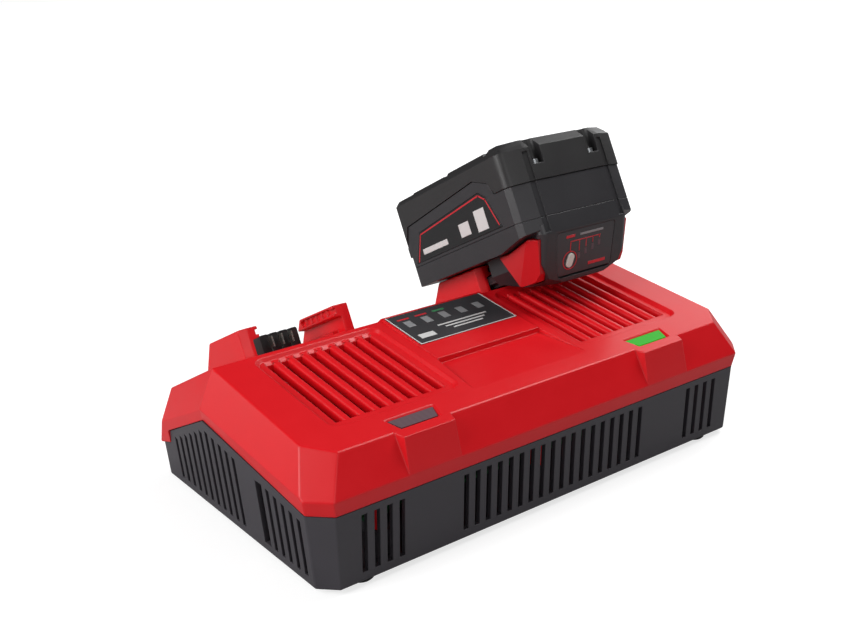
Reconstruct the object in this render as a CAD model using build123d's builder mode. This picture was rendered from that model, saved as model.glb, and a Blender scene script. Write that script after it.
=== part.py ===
from build123d import *
from math import cos, sin, radians, pi
import os

# Two-bay charger for slide-on tool battery packs, with one pack docked in the right bay.
# X runs to the right along the housing, Y to the back and Z up. The origin lies on the table,
# under the middle of the whole object, so the housing sits a little forward of it.

# ---- Driving dimensions, mm and degrees ----
housing_y = -7.05         # middle of the housing, front to back
foot_height = 2.5
wall = 2.4                # housing wall
gap = 0.35                # visible gap between the two shells, and between parts that only lie together

# lower shell
base_half_x = 125.1       # at the underside
base_half_y = 74.0
base_corner = 7.5
rim_half_x = 128.0        # at the height of the front parting line
rim_half_y = 75.8
rim_corner = 9.0
front_parting_z = 37.1
rear_parting_z = 20.3
ridge_parting_z = 49.5
ridge_y = 16.5            # the roof ridge, behind the middle

# upper shell
band_half_x = 129.5
band_half_y = 77.1
band_front_z = 44.3       # top of the band that runs round the shell above the parting line
band_ridge_z = 55.3
band_rear_y = 76.5
band_rear_z = 30.0
deck_half_x = 121.5
deck_front_y = -68.6
deck_front_z = 60.7
ridge_z = 72.7
deck_rear_y = 69.0
deck_rear_z = 45.3
shell_round = 1.3

# bays
bay_x = 70.0              # middle of each bay, left and right of the housing's middle
rail_tilt = 26.3          # slope of the docks, down towards the back
rail_y = 69.8             # where the pack's rear lower edge lies when docked
rail_z = 62.6

# vents
front_slot_pitch = 6.24
front_slot_width = 2.8
front_slot_low = 7.0
front_slot_high = 34.0
end_slot_pitch = 6.0
end_slot_width = 2.6

# grilles in the deck
grille_slots = 8
grille_pitch = 7.55
grille_slot_width = 3.8
grille_top_y = 10.0
grille_low_y = -47.5
grille_depth = 1.7        # of the shallow field that holds the ribs
grille_rib_height = 4.6
grille_ramp_depth = 1.1     # the upper end of each slot slopes down to its opening

# docks
dock_half_width = 30.0
post_front_s = 43.3       # along the rails, from the docked pack's rear end
post_rear_s = -9.0
lip_inner = 20.6          # half gap between the upper lips
groove_inner = 24.3       # half gap in the groove under the lips
ledge_inner = 21.1        # half gap between the lower ledges
lip_top_n = -0.6          # heights across the rails, from the pack's flange down
lip_low_n = -6.0
ledge_n = -12.1
ledge_end_s = 36.0
dock_floor_n = -14.8
post_foot_n = -17.0        # the posts end inside the roof's wall

# pack
pack_length = 102.0
pack_half_width = 38.5
pack_corner_x = 13.5      # cut of the gauge end's corners, across and along the pack
pack_corner_s = 4.7
pack_rear_corner = 3.0
flange_n = 10.7           # seam between the rail shell and the case
case_n = 28.8             # seam between the case and the rubber cap
pack_top_n = 48.4
pack_wall = 2.0
cell_radius = 9.15
cell_length = 65.0
cell_pitch = 18.7

slope = radians(rail_tilt)
os.makedirs("parts", exist_ok=True)

# ---- Reference planes ----
floor = Plane((0, housing_y, 0))
side = Plane(origin=(0, housing_y, 0), x_dir=(0, 1, 0), z_dir=(1, 0, 0))
front = Plane(origin=(0, housing_y, 0), x_dir=(1, 0, 0), z_dir=(0, -1, 0))

deck_rise = (ridge_z - deck_front_z) / (ridge_y - deck_front_y)
deck_dir = Vector(0, 1, deck_rise).normalized()
deck = Plane(
    origin=(0, housing_y + ridge_y, ridge_z),
    x_dir=(1, 0, 0),
    z_dir=Vector(1, 0, 0).cross(deck_dir),
)
rear_drop = (ridge_z - deck_rear_z) / (deck_rear_y - ridge_y)


def deck_v(y):
    """Distance up the deck plane from the ridge, for a depth y of the housing."""
    return (y - ridge_y) / deck_dir.Y


def deck_z(y):
    """Height of the front deck at a depth y of the housing."""
    return ridge_z + (y - ridge_y) * deck_rise


def dock_plane(x):
    """Plane of a docked pack's flange: local x to the left, y up the slope, z away from the housing."""
    return Plane(
        origin=(x, housing_y + rail_y, rail_z), x_dir=(-1, 0, 0), z_dir=(0, sin(slope), cos(slope))
    )


def dock_section(x, s):
    """Plane across the rails, at a distance s up them: local x to the right, y away from the housing."""
    return Plane(
        origin=dock_plane(x).from_local_coords((0, s, 0)),
        x_dir=(1, 0, 0),
        z_dir=(0, -cos(slope), sin(slope)),
    )


pack = dock_plane(bay_x)
pack_side = Plane(origin=pack.origin, x_dir=(0, -cos(slope), sin(slope)), z_dir=(-1, 0, 0))


# ---- Shared shapes ----
def prism(plane, points, amount, both=False):
    """Solid made by pushing a straight-sided outline out of its plane."""
    with BuildPart() as body:
        with BuildSketch(plane):
            with BuildLine():
                Polyline(*points, close=True)
            make_face()
        extrude(amount=amount, both=both)
    return body.part


def cut_plan(plane, half_x, half_y, corner):
    """Rectangular plan with its four corners cut off."""
    with BuildSketch(plane) as plan:
        Rectangle(2 * half_x, 2 * half_y)
        chamfer(plan.vertices(), corner)
    return plan.sketch


def facet(a, b, c):
    """Plane through three points of the housing, facing away from its middle."""
    a, b, c = (Vector(x, y + housing_y, z) for x, y, z in (a, b, c))
    normal = (b - a).cross(c - a)
    if normal.dot(a - Vector(0, housing_y, 25)) < 0:
        normal = normal * -1
    return Plane(origin=a, z_dir=normal)


def level_facet(low, high):
    """Plane through two levels of the housing, each given as depth and height."""
    return facet((-90, low[0], low[1]), (90, low[0], low[1]), (0, high[0], high[1]))


def parting_points(lift):
    """Side outline of the parting line, raised by lift, with a closing run far below the housing."""
    return [
        (-95, -20),
        (-95, front_parting_z + lift),
        (-rim_half_y + rim_corner, front_parting_z + lift),
        (ridge_y, ridge_parting_z + lift),
        (56.5, 30.0 + lift),
        (58.1, 23.1 + lift),
        (rim_half_y - rim_corner, rear_parting_z + lift),
        (95, rear_parting_z + lift),
        (95, -20),
    ]


def tray(inset, low_z):
    """Tapering plan of the lower shell, shrunk by inset, from low_z to well above the parting line."""
    top_z = 58.0
    grow = (top_z - foot_height) / (front_parting_z - foot_height)
    fall = (low_z - foot_height) / (front_parting_z - foot_height)
    with BuildPart() as body:
        for z, share in ((low_z, fall), (top_z, grow)):
            half_x = base_half_x + share * (rim_half_x - base_half_x) - inset
            half_y = base_half_y + share * (rim_half_y - base_half_y) - inset
            corner = base_corner + share * (rim_corner - base_corner)
            add(cut_plan(floor.offset(z), half_x, half_y, corner))
        loft()
    return body.part


def front_facets():
    """Outer planes of the red shell in front of the ridge."""
    planes = [
        level_facet((deck_front_y, deck_front_z), (ridge_y, ridge_z)),
        level_facet((-band_half_y, band_front_z), (deck_front_y, deck_front_z)),
        level_facet((-rim_half_y, front_parting_z), (-band_half_y, band_front_z)),
    ]
    for hand in (-1, 1):
        band_end = (hand * band_half_x, -band_half_y, band_front_z)
        band_ridge = (hand * band_half_x, ridge_y, band_ridge_z)
        planes.append(facet(band_end, band_ridge, (hand * deck_half_x, ridge_y, ridge_z)))
        planes.append(facet(band_end, band_ridge, (hand * (band_half_x - 2.0), ridge_y, band_ridge_z - 10)))
        corner_side = (hand * band_half_x, -67.8, band_front_z)
        corner_front = (hand * 120.2, -band_half_y, band_front_z)
        planes.append(facet(corner_side, corner_front, (hand * 111.9, deck_front_y, deck_front_z)))
        planes.append(facet(corner_side, corner_front, (hand * 119.0, -rim_half_y, front_parting_z)))
    return planes


def rear_facets():
    """Outer planes of the red shell behind the ridge."""
    planes = [
        level_facet((deck_rear_y, deck_rear_z), (ridge_y, ridge_z)),
        level_facet((deck_rear_y, deck_rear_z), (band_rear_y, band_rear_z)),
        level_facet((rim_half_y, rear_parting_z), (band_rear_y, band_rear_z)),
    ]
    for hand in (-1, 1):
        band_ridge = (hand * band_half_x, ridge_y, band_ridge_z)
        band_end = (hand * band_half_x, deck_rear_y, band_rear_z)
        planes.append(facet(band_ridge, band_end, (hand * deck_half_x, ridge_y, ridge_z)))
        planes.append(facet(band_ridge, band_end, (hand * (band_half_x - 2.0), ridge_y, band_ridge_z - 10)))
        corner_side = (hand * band_half_x, 60.8, 33.4)
        corner_rear = (hand * 117.0, band_rear_y, band_rear_z)
        planes.append(facet(corner_side, corner_rear, (hand * 122.8, 60.5, 49.5)))
        planes.append(facet(corner_side, corner_rear, (hand * 128.6, 66.6, 22.0)))
    return planes


def roof(inset):
    """Solid body of the red shell, shrunk by inset, before it is cut off at the parting line."""
    halves = []
    for facets, low_y, high_y in ((front_facets(), -90, ridge_y), (rear_facets(), ridge_y, 90)):
        with BuildPart(floor) as half:
            with Locations((0, (low_y + high_y) / 2, 50)):
                Box(300, high_y - low_y, 80)
            for plane in facets:
                split(bisect_by=plane.offset(-inset), keep=Keep.BOTTOM)
        halves.append(half.part)
    with BuildPart() as body:
        for half in halves:
            add(half)
    return body.part


screw_places = [(x, -61) for x in (-90, 0, 90)] + [(x, 57) for x in (-100, 0, 100)]
foot_places = [(-103, -66), (103, -66), (-116, 61), (116, 61)]
foot_radius = 6.0
board_z = 12.0            # underside of the main board
board_screw_places = [(x, y) for x in (-82, 82) for y in (-42, 38)]

# cooling fan behind the left end vents
fan_x = -110.0
fan_y = 8.0
fan_z = 33.0
fan_size = 50.0
fan_depth = 15.0
fan_radius = 23.0
hub_radius = 11.0
pin_radius = 2.0
running_gap = 0.05
blade_count = 7
blade_pitch = radians(50)

# ---- Lower housing ----
end_slot_ys = [50.6 - i * end_slot_pitch for i in range(11)]
end_slot_ys += [-37.2 - i * end_slot_pitch for i in range(5)]
end_slot_tilt = 0.3
wide_slot_y = -30.0
wide_slot_width = 5.4
vent_low = 7.0
front_slot_xs = [(i - 8.5) * front_slot_pitch for i in range(18)]
front_slot_xs += [hand * (86.9 + i * front_slot_pitch) for i in range(4) for hand in (-1, 1)]
rear_slot_xs = [hand * (60 + i * front_slot_pitch) for i in range(8) for hand in (-1, 1)]
tower_radius = 5.5
tower_height = 14.0


def parting_z(y):
    """Height of the parting line on the ends at a depth y."""
    if y < ridge_y:
        rise = (ridge_parting_z - front_parting_z) / (ridge_y + rim_half_y - rim_corner)
        return ridge_parting_z - (ridge_y - y) * rise
    return ridge_parting_z - (y - ridge_y) * (ridge_parting_z - 30.0) / (56.5 - ridge_y)


def tongue(inset, low_lift, high_lift):
    """Thin wall inside the shell, between two heights measured from the parting line."""
    with BuildPart() as ring:
        add(tray(inset, foot_height + wall))
        add(tray(wall + 1.9, foot_height + wall), mode=Mode.SUBTRACT)
        add(prism(side, parting_points(high_lift), 150, both=True), mode=Mode.INTERSECT)
        add(prism(side, parting_points(low_lift), 150, both=True), mode=Mode.SUBTRACT)
    return ring.part


with BuildPart() as lower_housing:
    add(tray(0, foot_height))
    fillet(lower_housing.edges().group_by(Axis.Z)[0], 1.2)
    fillet([e for e in lower_housing.edges() if abs(e.tangent_at(0.5).Z) > 0.9], 1.5)
    add(tray(wall, foot_height + wall), mode=Mode.SUBTRACT)
    add(prism(side, parting_points(0), 150, both=True), mode=Mode.INTERSECT)
    # end vents, through both ends; each one follows the parting line
    with BuildSketch(side):
        for y in end_slot_ys:
            high = parting_z(y) - 4.6
            with BuildLine():
                Polyline(
                    (y - end_slot_width / 2, vent_low),
                    (y + end_slot_width / 2, vent_low),
                    (y + end_slot_width / 2, high + end_slot_tilt),
                    (y - end_slot_width / 2, high - end_slot_tilt),
                    close=True,
                )
            make_face()
        with Locations((wide_slot_y, (vent_low + parting_z(wide_slot_y) - 5.0) / 2)):
            Rectangle(wide_slot_width, parting_z(wide_slot_y) - 5.0 - vent_low)
    extrude(amount=150, both=True, mode=Mode.SUBTRACT)
    # front vents
    with BuildSketch(front.offset(60)):
        with Locations(*[(x, (front_slot_low + front_slot_high) / 2) for x in front_slot_xs]):
            Rectangle(front_slot_width, front_slot_high - front_slot_low)
    extrude(amount=30, mode=Mode.SUBTRACT)
    # rear vents, low on both sides of the middle
    with BuildSketch(front.offset(-85)):
        with Locations(*[(x, 12.0) for x in rear_slot_xs]):
            Rectangle(front_slot_width, 8.0)
    extrude(amount=25, mode=Mode.SUBTRACT)
    # tongue that centres the upper shell, and its root on the wall
    add(tongue(wall + 0.85, -5, 2.2))
    add(tongue(wall - 0.2, -4.2, -2))
    # screw towers, open from below for the screw heads
    with Locations(*[(x, y + housing_y, foot_height) for x, y in screw_places]):
        Cylinder(tower_radius, tower_height, align=(Align.CENTER, Align.CENTER, Align.MIN))
    with Locations(*[(x, y + housing_y, foot_height) for x, y in screw_places]):
        Cylinder(3.8, 7, align=(Align.CENTER, Align.CENTER, Align.MIN), mode=Mode.SUBTRACT)
        Cylinder(1.7, 20, align=(Align.CENTER, Align.CENTER, Align.MIN), mode=Mode.SUBTRACT)
    # standoffs of the main board
    with Locations(*[(x, y + housing_y, foot_height + 1) for x, y in board_screw_places]):
        Cylinder(4, board_z - foot_height - 1, align=(Align.CENTER, Align.CENTER, Align.MIN))
    with Locations(*[(x, y + housing_y, foot_height + 3) for x, y in board_screw_places]):
        Cylinder(1.25, 12, align=(Align.CENTER, Align.CENTER, Align.MIN), mode=Mode.SUBTRACT)
    # cradle of the fan: a seat between two ribs
    with Locations((fan_x, fan_y + housing_y, foot_height + 1)):
        seat_height = fan_z - fan_size / 2 - foot_height - 1
        Box(fan_depth, 36, seat_height, align=(Align.CENTER, Align.CENTER, Align.MIN))
    for hand in (-1, 1):
        with Locations((fan_x + hand * (fan_depth / 2 + 1.3), fan_y + housing_y, foot_height + 1)):
            Box(2, 36, 9, align=(Align.CENTER, Align.CENTER, Align.MIN))
    # sockets of the feet
    with Locations(*[(x, y + housing_y, foot_height) for x, y in foot_places]):
        Cylinder(3.0, 1.6, align=(Align.CENTER, Align.CENTER, Align.MIN), mode=Mode.SUBTRACT)
lower_housing.part.label = "lower_housing"
export_step(lower_housing.part, "parts/lower_housing.step")


# ---- Upper housing ----
grille_v = (deck_v(grille_top_y) + deck_v(grille_low_y)) / 2
grille_length = deck_v(grille_top_y) - deck_v(grille_low_y)
grille_span = (grille_slots - 1) * grille_pitch + grille_slot_width
grille_border = 3.8       # flat rim of the sunk field beside and below the slots
grille_top_border = 2.0
field_width = grille_span + 2 * grille_border
field_length = grille_length + grille_border + grille_top_border
field_v = grille_v + (grille_top_border - grille_border) / 2
pad_depth = grille_depth + grille_rib_height

# the middle of the deck is a low wedge that carries the information plate and ends in a lip
wedge_half = 30.8
wedge_front_y = -58.0
wedge_rise = 1.2
lip_y = -28.5
riser_depth = 2.1
plateau_dir = Vector(0, ridge_y - wedge_front_y, ridge_z + wedge_rise - deck_z(wedge_front_y)).normalized()
plateau = Plane(
    origin=(0, housing_y + ridge_y, ridge_z + wedge_rise),
    x_dir=(1, 0, 0),
    z_dir=Vector(1, 0, 0).cross(plateau_dir),
)

# LED windows and the faces that stand forward under them
window_top_y = -59.0
window_low_y = -67.4
window_top_half = 12.5
window_low_half = 10.0
window_depth = 1.6
brow_half = 13.0
brow_root_half = 14.6
brow_y = -73.6
led_board_depth = 7.8     # from the deck down to the light boards

# terminal blocks, measured along the rails
block_low_s = 9.0
block_high_s = 22.0
block_lobes = 4
lobe_width = 4.5
lobe_gap = 0.9
block_top_n = -4.2
block_width = block_lobes * lobe_width + (block_lobes - 1) * lobe_gap
block_length = block_high_s - block_low_s
block_flange_n = dock_floor_n - 3.5
blade_length = 10.0
blade_thick = 0.8

# information plate
plate_width = 58.8
plate_length = 29.6
plate_v = -(ridge_y - 0.55) / plateau_dir.Y

# mains inlet in the back wall
inlet_x = -40.0
inlet_z = 33.5
inlet_width = 24.0
inlet_height = 16.0


def dock_post(x, hand):
    """One rail post of a dock; hand 1 is the right one of the pair."""
    outline = [
        (dock_half_width, post_foot_n),
        (dock_half_width, lip_top_n),
        (lip_inner, lip_top_n),
        (lip_inner, lip_low_n),
        (groove_inner, lip_low_n - 0.6),
        (groove_inner, ledge_n),
        (ledge_inner, ledge_n - 0.4),
        (ledge_inner, post_foot_n),
    ]
    with BuildPart() as post:
        with BuildSketch(dock_section(x, post_rear_s)):
            with BuildLine():
                Polyline(*[(hand * u, n) for u, n in outline], close=True)
            make_face()
        extrude(amount=post_front_s - post_rear_s)
        # the rear end stands nearly upright
        split(bisect_by=facet((0, 62.4, 65.2), (20, 62.4, 65.2), (0, 66.4, 52.0)), keep=Keep.BOTTOM)
        # the front outer edge is blunted, the long top edges are rounded
        long_edges = [
            e for e in post.edges()
            if abs(e.tangent_at(0.5).dot(Vector(0, -cos(slope), sin(slope)))) > 0.99
            and dock_section(x, 0).to_local_coords(e.center()).Y > lip_low_n - 0.3
        ]
        fillet(long_edges, 0.7)
        up_rail = Vector(0, -cos(slope), sin(slope))
        corner = dock_section(x, post_front_s - 1.5).from_local_coords((hand * dock_half_width, 0, 0))
        split(bisect_by=Plane(origin=corner, z_dir=Vector(hand * 1.5, 0, 0) + up_rail * 4.2), keep=Keep.BOTTOM)
        # a long pocket with short ribs in the face of the upper lip
        pocket_plane = Plane(
            origin=dock_plane(x).from_local_coords((-hand * lip_inner, 24.4, (lip_top_n + lip_low_n) / 2)),
            x_dir=(0, -cos(slope), sin(slope)),
            z_dir=(-hand, 0, 0),
        )
        with BuildSketch(pocket_plane):
            SlotOverall(32.0, 3.4)
            with Locations((17.5, 0)):
                Rectangle(5.0, 2.4)
        extrude(amount=-1.4, mode=Mode.SUBTRACT)
        with BuildSketch(pocket_plane.offset(-1.5)):
            with GridLocations(5.6, 1, 5, 1):
                Rectangle(0.9, 3.6)
        extrude(amount=1.0)
        # the ledge under the groove stops short of the front end
        with BuildSketch(dock_section(x, ledge_end_s)):
            with Locations((hand * (groove_inner + ledge_inner - 0.4) / 2, (ledge_n + dock_floor_n) / 2)):
                Rectangle(groove_inner - ledge_inner + 0.4, ledge_n - dock_floor_n)
        extrude(amount=post_front_s - ledge_end_s + 1, mode=Mode.SUBTRACT)
    return post.part


def grille_panel(x):
    """Block with the sunk field and its slots, for the deck of one bay."""
    field = deck.offset(-grille_depth)
    with BuildPart() as panel:
        with BuildSketch(field):
            with Locations((x, field_v)):
                Rectangle(field_width + 6, field_length + 6)
        extrude(amount=-grille_rib_height)
        with BuildSketch(field):
            with Locations((x, grille_v)):
                with GridLocations(grille_pitch, 1, grille_slots, 1):
                    Rectangle(grille_slot_width, grille_length)
        extrude(amount=-grille_rib_height, mode=Mode.SUBTRACT)
        top_edges = [
            e for e in panel.edges()
            if abs(field.to_local_coords(e.center()).Z) < 0.01
            and abs(e.tangent_at(0.5).X) < 0.01
            and abs(field.to_local_coords(e.center()).X - x) < grille_span / 2 + 0.1
        ]
        fillet(top_edges, 1.5)
        end_v = grille_v + grille_length / 2
        ramp = [(end_v - 0.4, 0.6), (end_v + grille_top_border + 0.6, 0.6)]
        ramp += [(end_v + grille_top_border, 0), (end_v, -grille_ramp_depth), (end_v - 0.4, -grille_ramp_depth)]
        for i in range(grille_slots):
            slot_x = x + (i - (grille_slots - 1) / 2) * grille_pitch
            section = Plane(origin=field.from_local_coords((slot_x, 0, 0)), x_dir=deck_dir, z_dir=(1, 0, 0))
            add(prism(section, ramp, grille_slot_width / 2, both=True), mode=Mode.SUBTRACT)
    return panel.part


def field_cutter(x):
    """Bevelled opening for the sunk field, through the deck from above."""
    with BuildPart() as cutter:
        for lift, grow in ((0.4, grille_depth + 0.4), (-grille_depth, 0)):
            with BuildSketch(deck.offset(lift)):
                with Locations((x, field_v)):
                    RectangleRounded(field_width + 2 * grow, field_length + 2 * grow, 4.0 + grow)
        loft()
    return cutter.part


def brow(x):
    """Face that stands forward of the front under an LED window."""
    with BuildPart() as body:
        with BuildSketch(side.offset(x)):
            with BuildLine():
                Polyline(
                    (deck_front_y + 4, deck_z(deck_front_y + 4) - 0.01),
                    (brow_y, deck_z(brow_y)),
                    (-band_half_y, band_front_z),
                    (-band_half_y + 5, band_front_z),
                    close=True,
                )
            make_face()
        extrude(amount=brow_root_half, both=True)
        for hand in (-1, 1):
            flank = facet(
                (x + hand * brow_half, brow_y, deck_z(brow_y)),
                (x + hand * brow_root_half, deck_front_y, deck_front_z),
                (x + hand * (brow_half + 0.5), -band_half_y, band_front_z),
            )
            outward = flank if flank.z_dir.X * hand > 0 else Plane(origin=flank.origin, z_dir=-flank.z_dir)
            split(bisect_by=outward, keep=Keep.BOTTOM)
    return body.part


def roof_hollow():
    """Space inside the red shell, which leaves the deck thick round the grilles and the sunk middle."""
    with BuildPart() as hollow:
        add(roof(wall))
        for x in (-bay_x, bay_x):
            with BuildSketch(deck.offset(-pad_depth)):
                with Locations((x, field_v)):
                    Rectangle(field_width + 6, field_length + 6)
            extrude(amount=pad_depth, mode=Mode.SUBTRACT)
        with BuildSketch(deck.offset(-riser_depth - wall)):
            with Locations((0, (deck_v(lip_y + 3) + deck_v(wedge_front_y)) / 2)):
                Rectangle(2 * 36.5, deck_v(lip_y + 3) - deck_v(wedge_front_y))
        extrude(amount=riser_depth + wall, mode=Mode.SUBTRACT)
    return hollow.part


def window_plan(x, lift, inset):
    """Trapezoid of an LED window, shrunk by inset, lifted off the deck."""
    top_v = deck_v(window_top_y) - inset
    low_v = deck_v(window_low_y) + inset
    with BuildSketch(deck.offset(lift)) as plan:
        with BuildLine():
            Polyline(
                (x - window_top_half + inset, top_v),
                (x + window_top_half - inset, top_v),
                (x + window_low_half - inset, low_v),
                (x - window_low_half + inset, low_v),
                close=True,
            )
        make_face()
    return plan.sketch


def window_prism(x, inset, depth, above):
    """Column with an LED window's outline, shrunk by inset, from above the deck down to a depth."""
    with BuildPart() as body:
        extrude(window_plan(x, above, inset), amount=depth + above, dir=-deck.z_dir)
    return body.part


def window_bevel(x):
    """Bevelled rim round an LED window, from the deck down to the window's seat."""
    with BuildPart() as body:
        add(window_plan(x, 0.2, -0.7))
        add(window_plan(x, -0.9, 0.5))
        loft()
    return body.part


def middle_field():
    """Trapezoid ramp cut into the deck in front of the lip."""
    near, far = 34.0, 31.0
    with BuildPart() as cutter:
        add(
            prism(
                side,
                [
                    (wedge_front_y, deck_z(wedge_front_y)),
                    (lip_y, deck_z(lip_y) - riser_depth),
                    (lip_y, ridge_z + 10),
                    (wedge_front_y, ridge_z + 10),
                ],
                near,
                both=True,
            )
        )
        for hand in (-1, 1):
            cut = Plane(
                origin=(hand * far, housing_y + lip_y, 0),
                x_dir=(0, 0, 1),
                z_dir=(hand * (lip_y - wedge_front_y), near - far, 0),
            )
            split(bisect_by=cut, keep=Keep.BOTTOM)
    return cutter.part


def block_opening(x):
    """Opening in the rear slope through which a terminal block stands."""
    with BuildPart() as cutter:
        with BuildSketch(dock_plane(x).offset(dock_floor_n - 8)):
            with Locations((0, (block_low_s + block_high_s) / 2)):
                Rectangle(block_width + 0.6, block_high_s - block_low_s + 0.6)
        extrude(amount=14)
    return cutter.part


def led_board_pegs():
    """Pegs under the deck that hold the two light boards."""
    with BuildPart() as pegs:
        with BuildSketch(deck.offset(-led_board_depth)):
            with Locations(*[(x + dx, deck_v(-53.5)) for x in (-bay_x, bay_x) for dx in (-10.5, 10.5)]):
                Circle(1.8)
        extrude(amount=led_board_depth - wall / 2)
    return pegs.part


def screw_tower(x, y):
    """Hollow post under the roof, cut off along the roof's inner face."""
    with BuildPart(floor) as tower:
        with Locations((x, y, foot_height + tower_height + gap)):
            Cylinder(4.0, 60, align=(Align.CENTER, Align.CENTER, Align.MIN))
        for plane in front_facets() if y < ridge_y else rear_facets():
            split(bisect_by=plane.offset(-wall / 2), keep=Keep.BOTTOM)
    return tower.part


with BuildPart() as upper_housing:
    add(roof(0))
    fillet([e for e in upper_housing.edges() if e.center().Z > 24], shell_round)
    for x in (-bay_x, bay_x):
        add(brow(x))
    # middle wedge
    add(
        prism(
            side,
            [
                (wedge_front_y, deck_z(wedge_front_y)),
                (ridge_y, ridge_z + wedge_rise),
                (ridge_y + 3.2, ridge_z - 1.5),
                (ridge_y, ridge_z - 4),
            ],
            wedge_half,
            both=True,
        )
    )
    add(roof_hollow(), mode=Mode.SUBTRACT)
    add(prism(side, parting_points(gap), 160, both=True), mode=Mode.SUBTRACT)
    # grilles
    for x in (-bay_x, bay_x):
        with BuildSketch(deck.offset(-pad_depth)):
            with Locations((x, grille_v)):
                Rectangle(grille_span + 1, grille_length + 2 * grille_top_border)
        extrude(amount=pad_depth - grille_depth, mode=Mode.SUBTRACT)
        add(field_cutter(x), mode=Mode.SUBTRACT)
        add(grille_panel(x))
    # LED windows: a bevelled rim, a shallow seat and a smaller opening through the deck
    for x in (-bay_x, bay_x):
        add(window_bevel(x), mode=Mode.SUBTRACT)
        add(window_prism(x, 0.5, window_depth, 0.5), mode=Mode.SUBTRACT)
        add(window_prism(x, 1.6, 12, 0.5), mode=Mode.SUBTRACT)
    # sunk middle field: a straight riser under the lip, then a ramp back up to the deck
    add(middle_field(), mode=Mode.SUBTRACT)
    # seat of the information plate
    with BuildSketch(plateau.offset(-0.5)):
        with Locations((0, plate_v)):
            Rectangle(plate_width + 0.4, plate_length + 0.4)
    extrude(amount=3, mode=Mode.SUBTRACT)
    # docks
    for x in (-bay_x, bay_x):
        for hand in (-1, 1):
            add(dock_post(x, hand))
        add(block_opening(x), mode=Mode.SUBTRACT)
    add(led_board_pegs())
    # towers that take the housing screws
    for x, y in screw_places:
        add(screw_tower(x, y))
    for x, y in screw_places:
        with Locations((x, y + housing_y, foot_height + tower_height)):
            Cylinder(1.25, 14, align=(Align.CENTER, Align.CENTER, Align.MIN), mode=Mode.SUBTRACT)
    # opening of the mains inlet in the back wall
    with BuildSketch(front.offset(-60)):
        with Locations((inlet_x, inlet_z)):
            Rectangle(inlet_width + 0.4, inlet_height + 0.4)
    extrude(amount=-30, mode=Mode.SUBTRACT)
upper_housing.part.label = "upper_housing"
export_step(upper_housing.part, "parts/upper_housing.step")


# ---- Small outer pieces of the charger ----
with BuildPart(floor) as rubber_feet:
    for x, y in foot_places:
        with Locations((x, y, 0)):
            Cylinder(foot_radius, foot_height, align=(Align.CENTER, Align.CENTER, Align.MIN))
        with Locations((x, y, foot_height)):
            Cylinder(2.9, 1.4, align=(Align.CENTER, Align.CENTER, Align.MIN))
    chamfer(rubber_feet.edges().group_by(Axis.Z)[0], 0.6)
rubber_feet.part.label = "rubber_feet"
export_step(rubber_feet.part, "parts/rubber_feet.step")

with BuildPart(floor) as housing_screws:
    for x, y in screw_places:
        with Locations((x, y, foot_height + 4.0)):
            Cylinder(3.2, 3.0, align=(Align.CENTER, Align.CENTER, Align.MIN))
            Cylinder(1.4, 3, align=(Align.CENTER, Align.CENTER, Align.MIN), mode=Mode.SUBTRACT)
            with Locations((0, 0, 2.0)):
                Cylinder(1.45, 7.9, align=(Align.CENTER, Align.CENTER, Align.MIN))
            with Locations((0, 0, 9.9)):
                Cylinder(1.2, 12, align=(Align.CENTER, Align.CENTER, Align.MIN))
housing_screws.part.label = "housing_screws"
export_step(housing_screws.part, "parts/housing_screws.step")

with BuildPart() as info_plate:
    with BuildSketch(plateau.offset(-0.5)):
        with Locations((0, plate_v)):
            Rectangle(plate_width, plate_length)
    extrude(amount=0.6)
info_plate.part.label = "info_plate"
export_step(info_plate.part, "parts/info_plate.step")


def led_lens(x):
    """Clear window with a collar that hangs through the deck."""
    with BuildPart() as lens:
        add(window_prism(x, 0.8, window_depth, -0.5))
        add(window_prism(x, 1.9, 5.0, -0.6))
    return lens.part


def led_board(x):
    """Small board with its light-emitting chips, under one window."""
    with BuildPart() as board:
        with BuildSketch(deck.offset(-led_board_depth - 1.2)):
            with Locations((x, deck_v(-58.0))):
                Rectangle(26, 15)
        extrude(amount=1.2)
        with BuildSketch(deck.offset(-led_board_depth)):
            with Locations((x, deck_v(-63.0))):
                with GridLocations(5.5, 1, 3, 1):
                    Rectangle(3.0, 2.6)
        extrude(amount=1.4)
    return board.part


def terminal_block(x):
    """Ribbed block between the rail posts, standing on a flange under the roof."""
    with BuildPart() as block:
        with BuildSketch(dock_section(x, block_low_s)):
            with Locations((0, (dock_floor_n - 3 + block_top_n) / 2)):
                with GridLocations(lobe_width + lobe_gap, 1, block_lobes, 1):
                    Rectangle(lobe_width, block_top_n - dock_floor_n + 3)
        extrude(amount=block_length)
        tops = [
            e for e in block.edges()
            if dock_section(x, 0).to_local_coords(e.center()).Y > block_top_n - 0.01
            and abs(e.tangent_at(0.5).X) < 0.01
        ]
        fillet(tops, 1.0)
        with BuildSketch(dock_plane(x).offset(block_flange_n)):
            with Locations((0, (block_low_s + block_high_s) / 2)):
                Rectangle(block_width + 6, block_length + 6)
        extrude(amount=-3.0)
        with BuildSketch(dock_plane(x).offset(block_flange_n - 0.5)):
            with Locations((0, (block_low_s + block_high_s) / 2)):
                Rectangle(block_width, block_length)
        extrude(amount=3.4)
        with BuildSketch(dock_plane(x).offset(block_flange_n - 4)):
            with Locations((0, (block_low_s + block_high_s) / 2)):
                with GridLocations(lobe_width + lobe_gap, 1, block_lobes - 1, 1):
                    Rectangle(blade_thick + 0.1, blade_length + 0.2)
        extrude(amount=10, mode=Mode.SUBTRACT)
    return block.part


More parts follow.
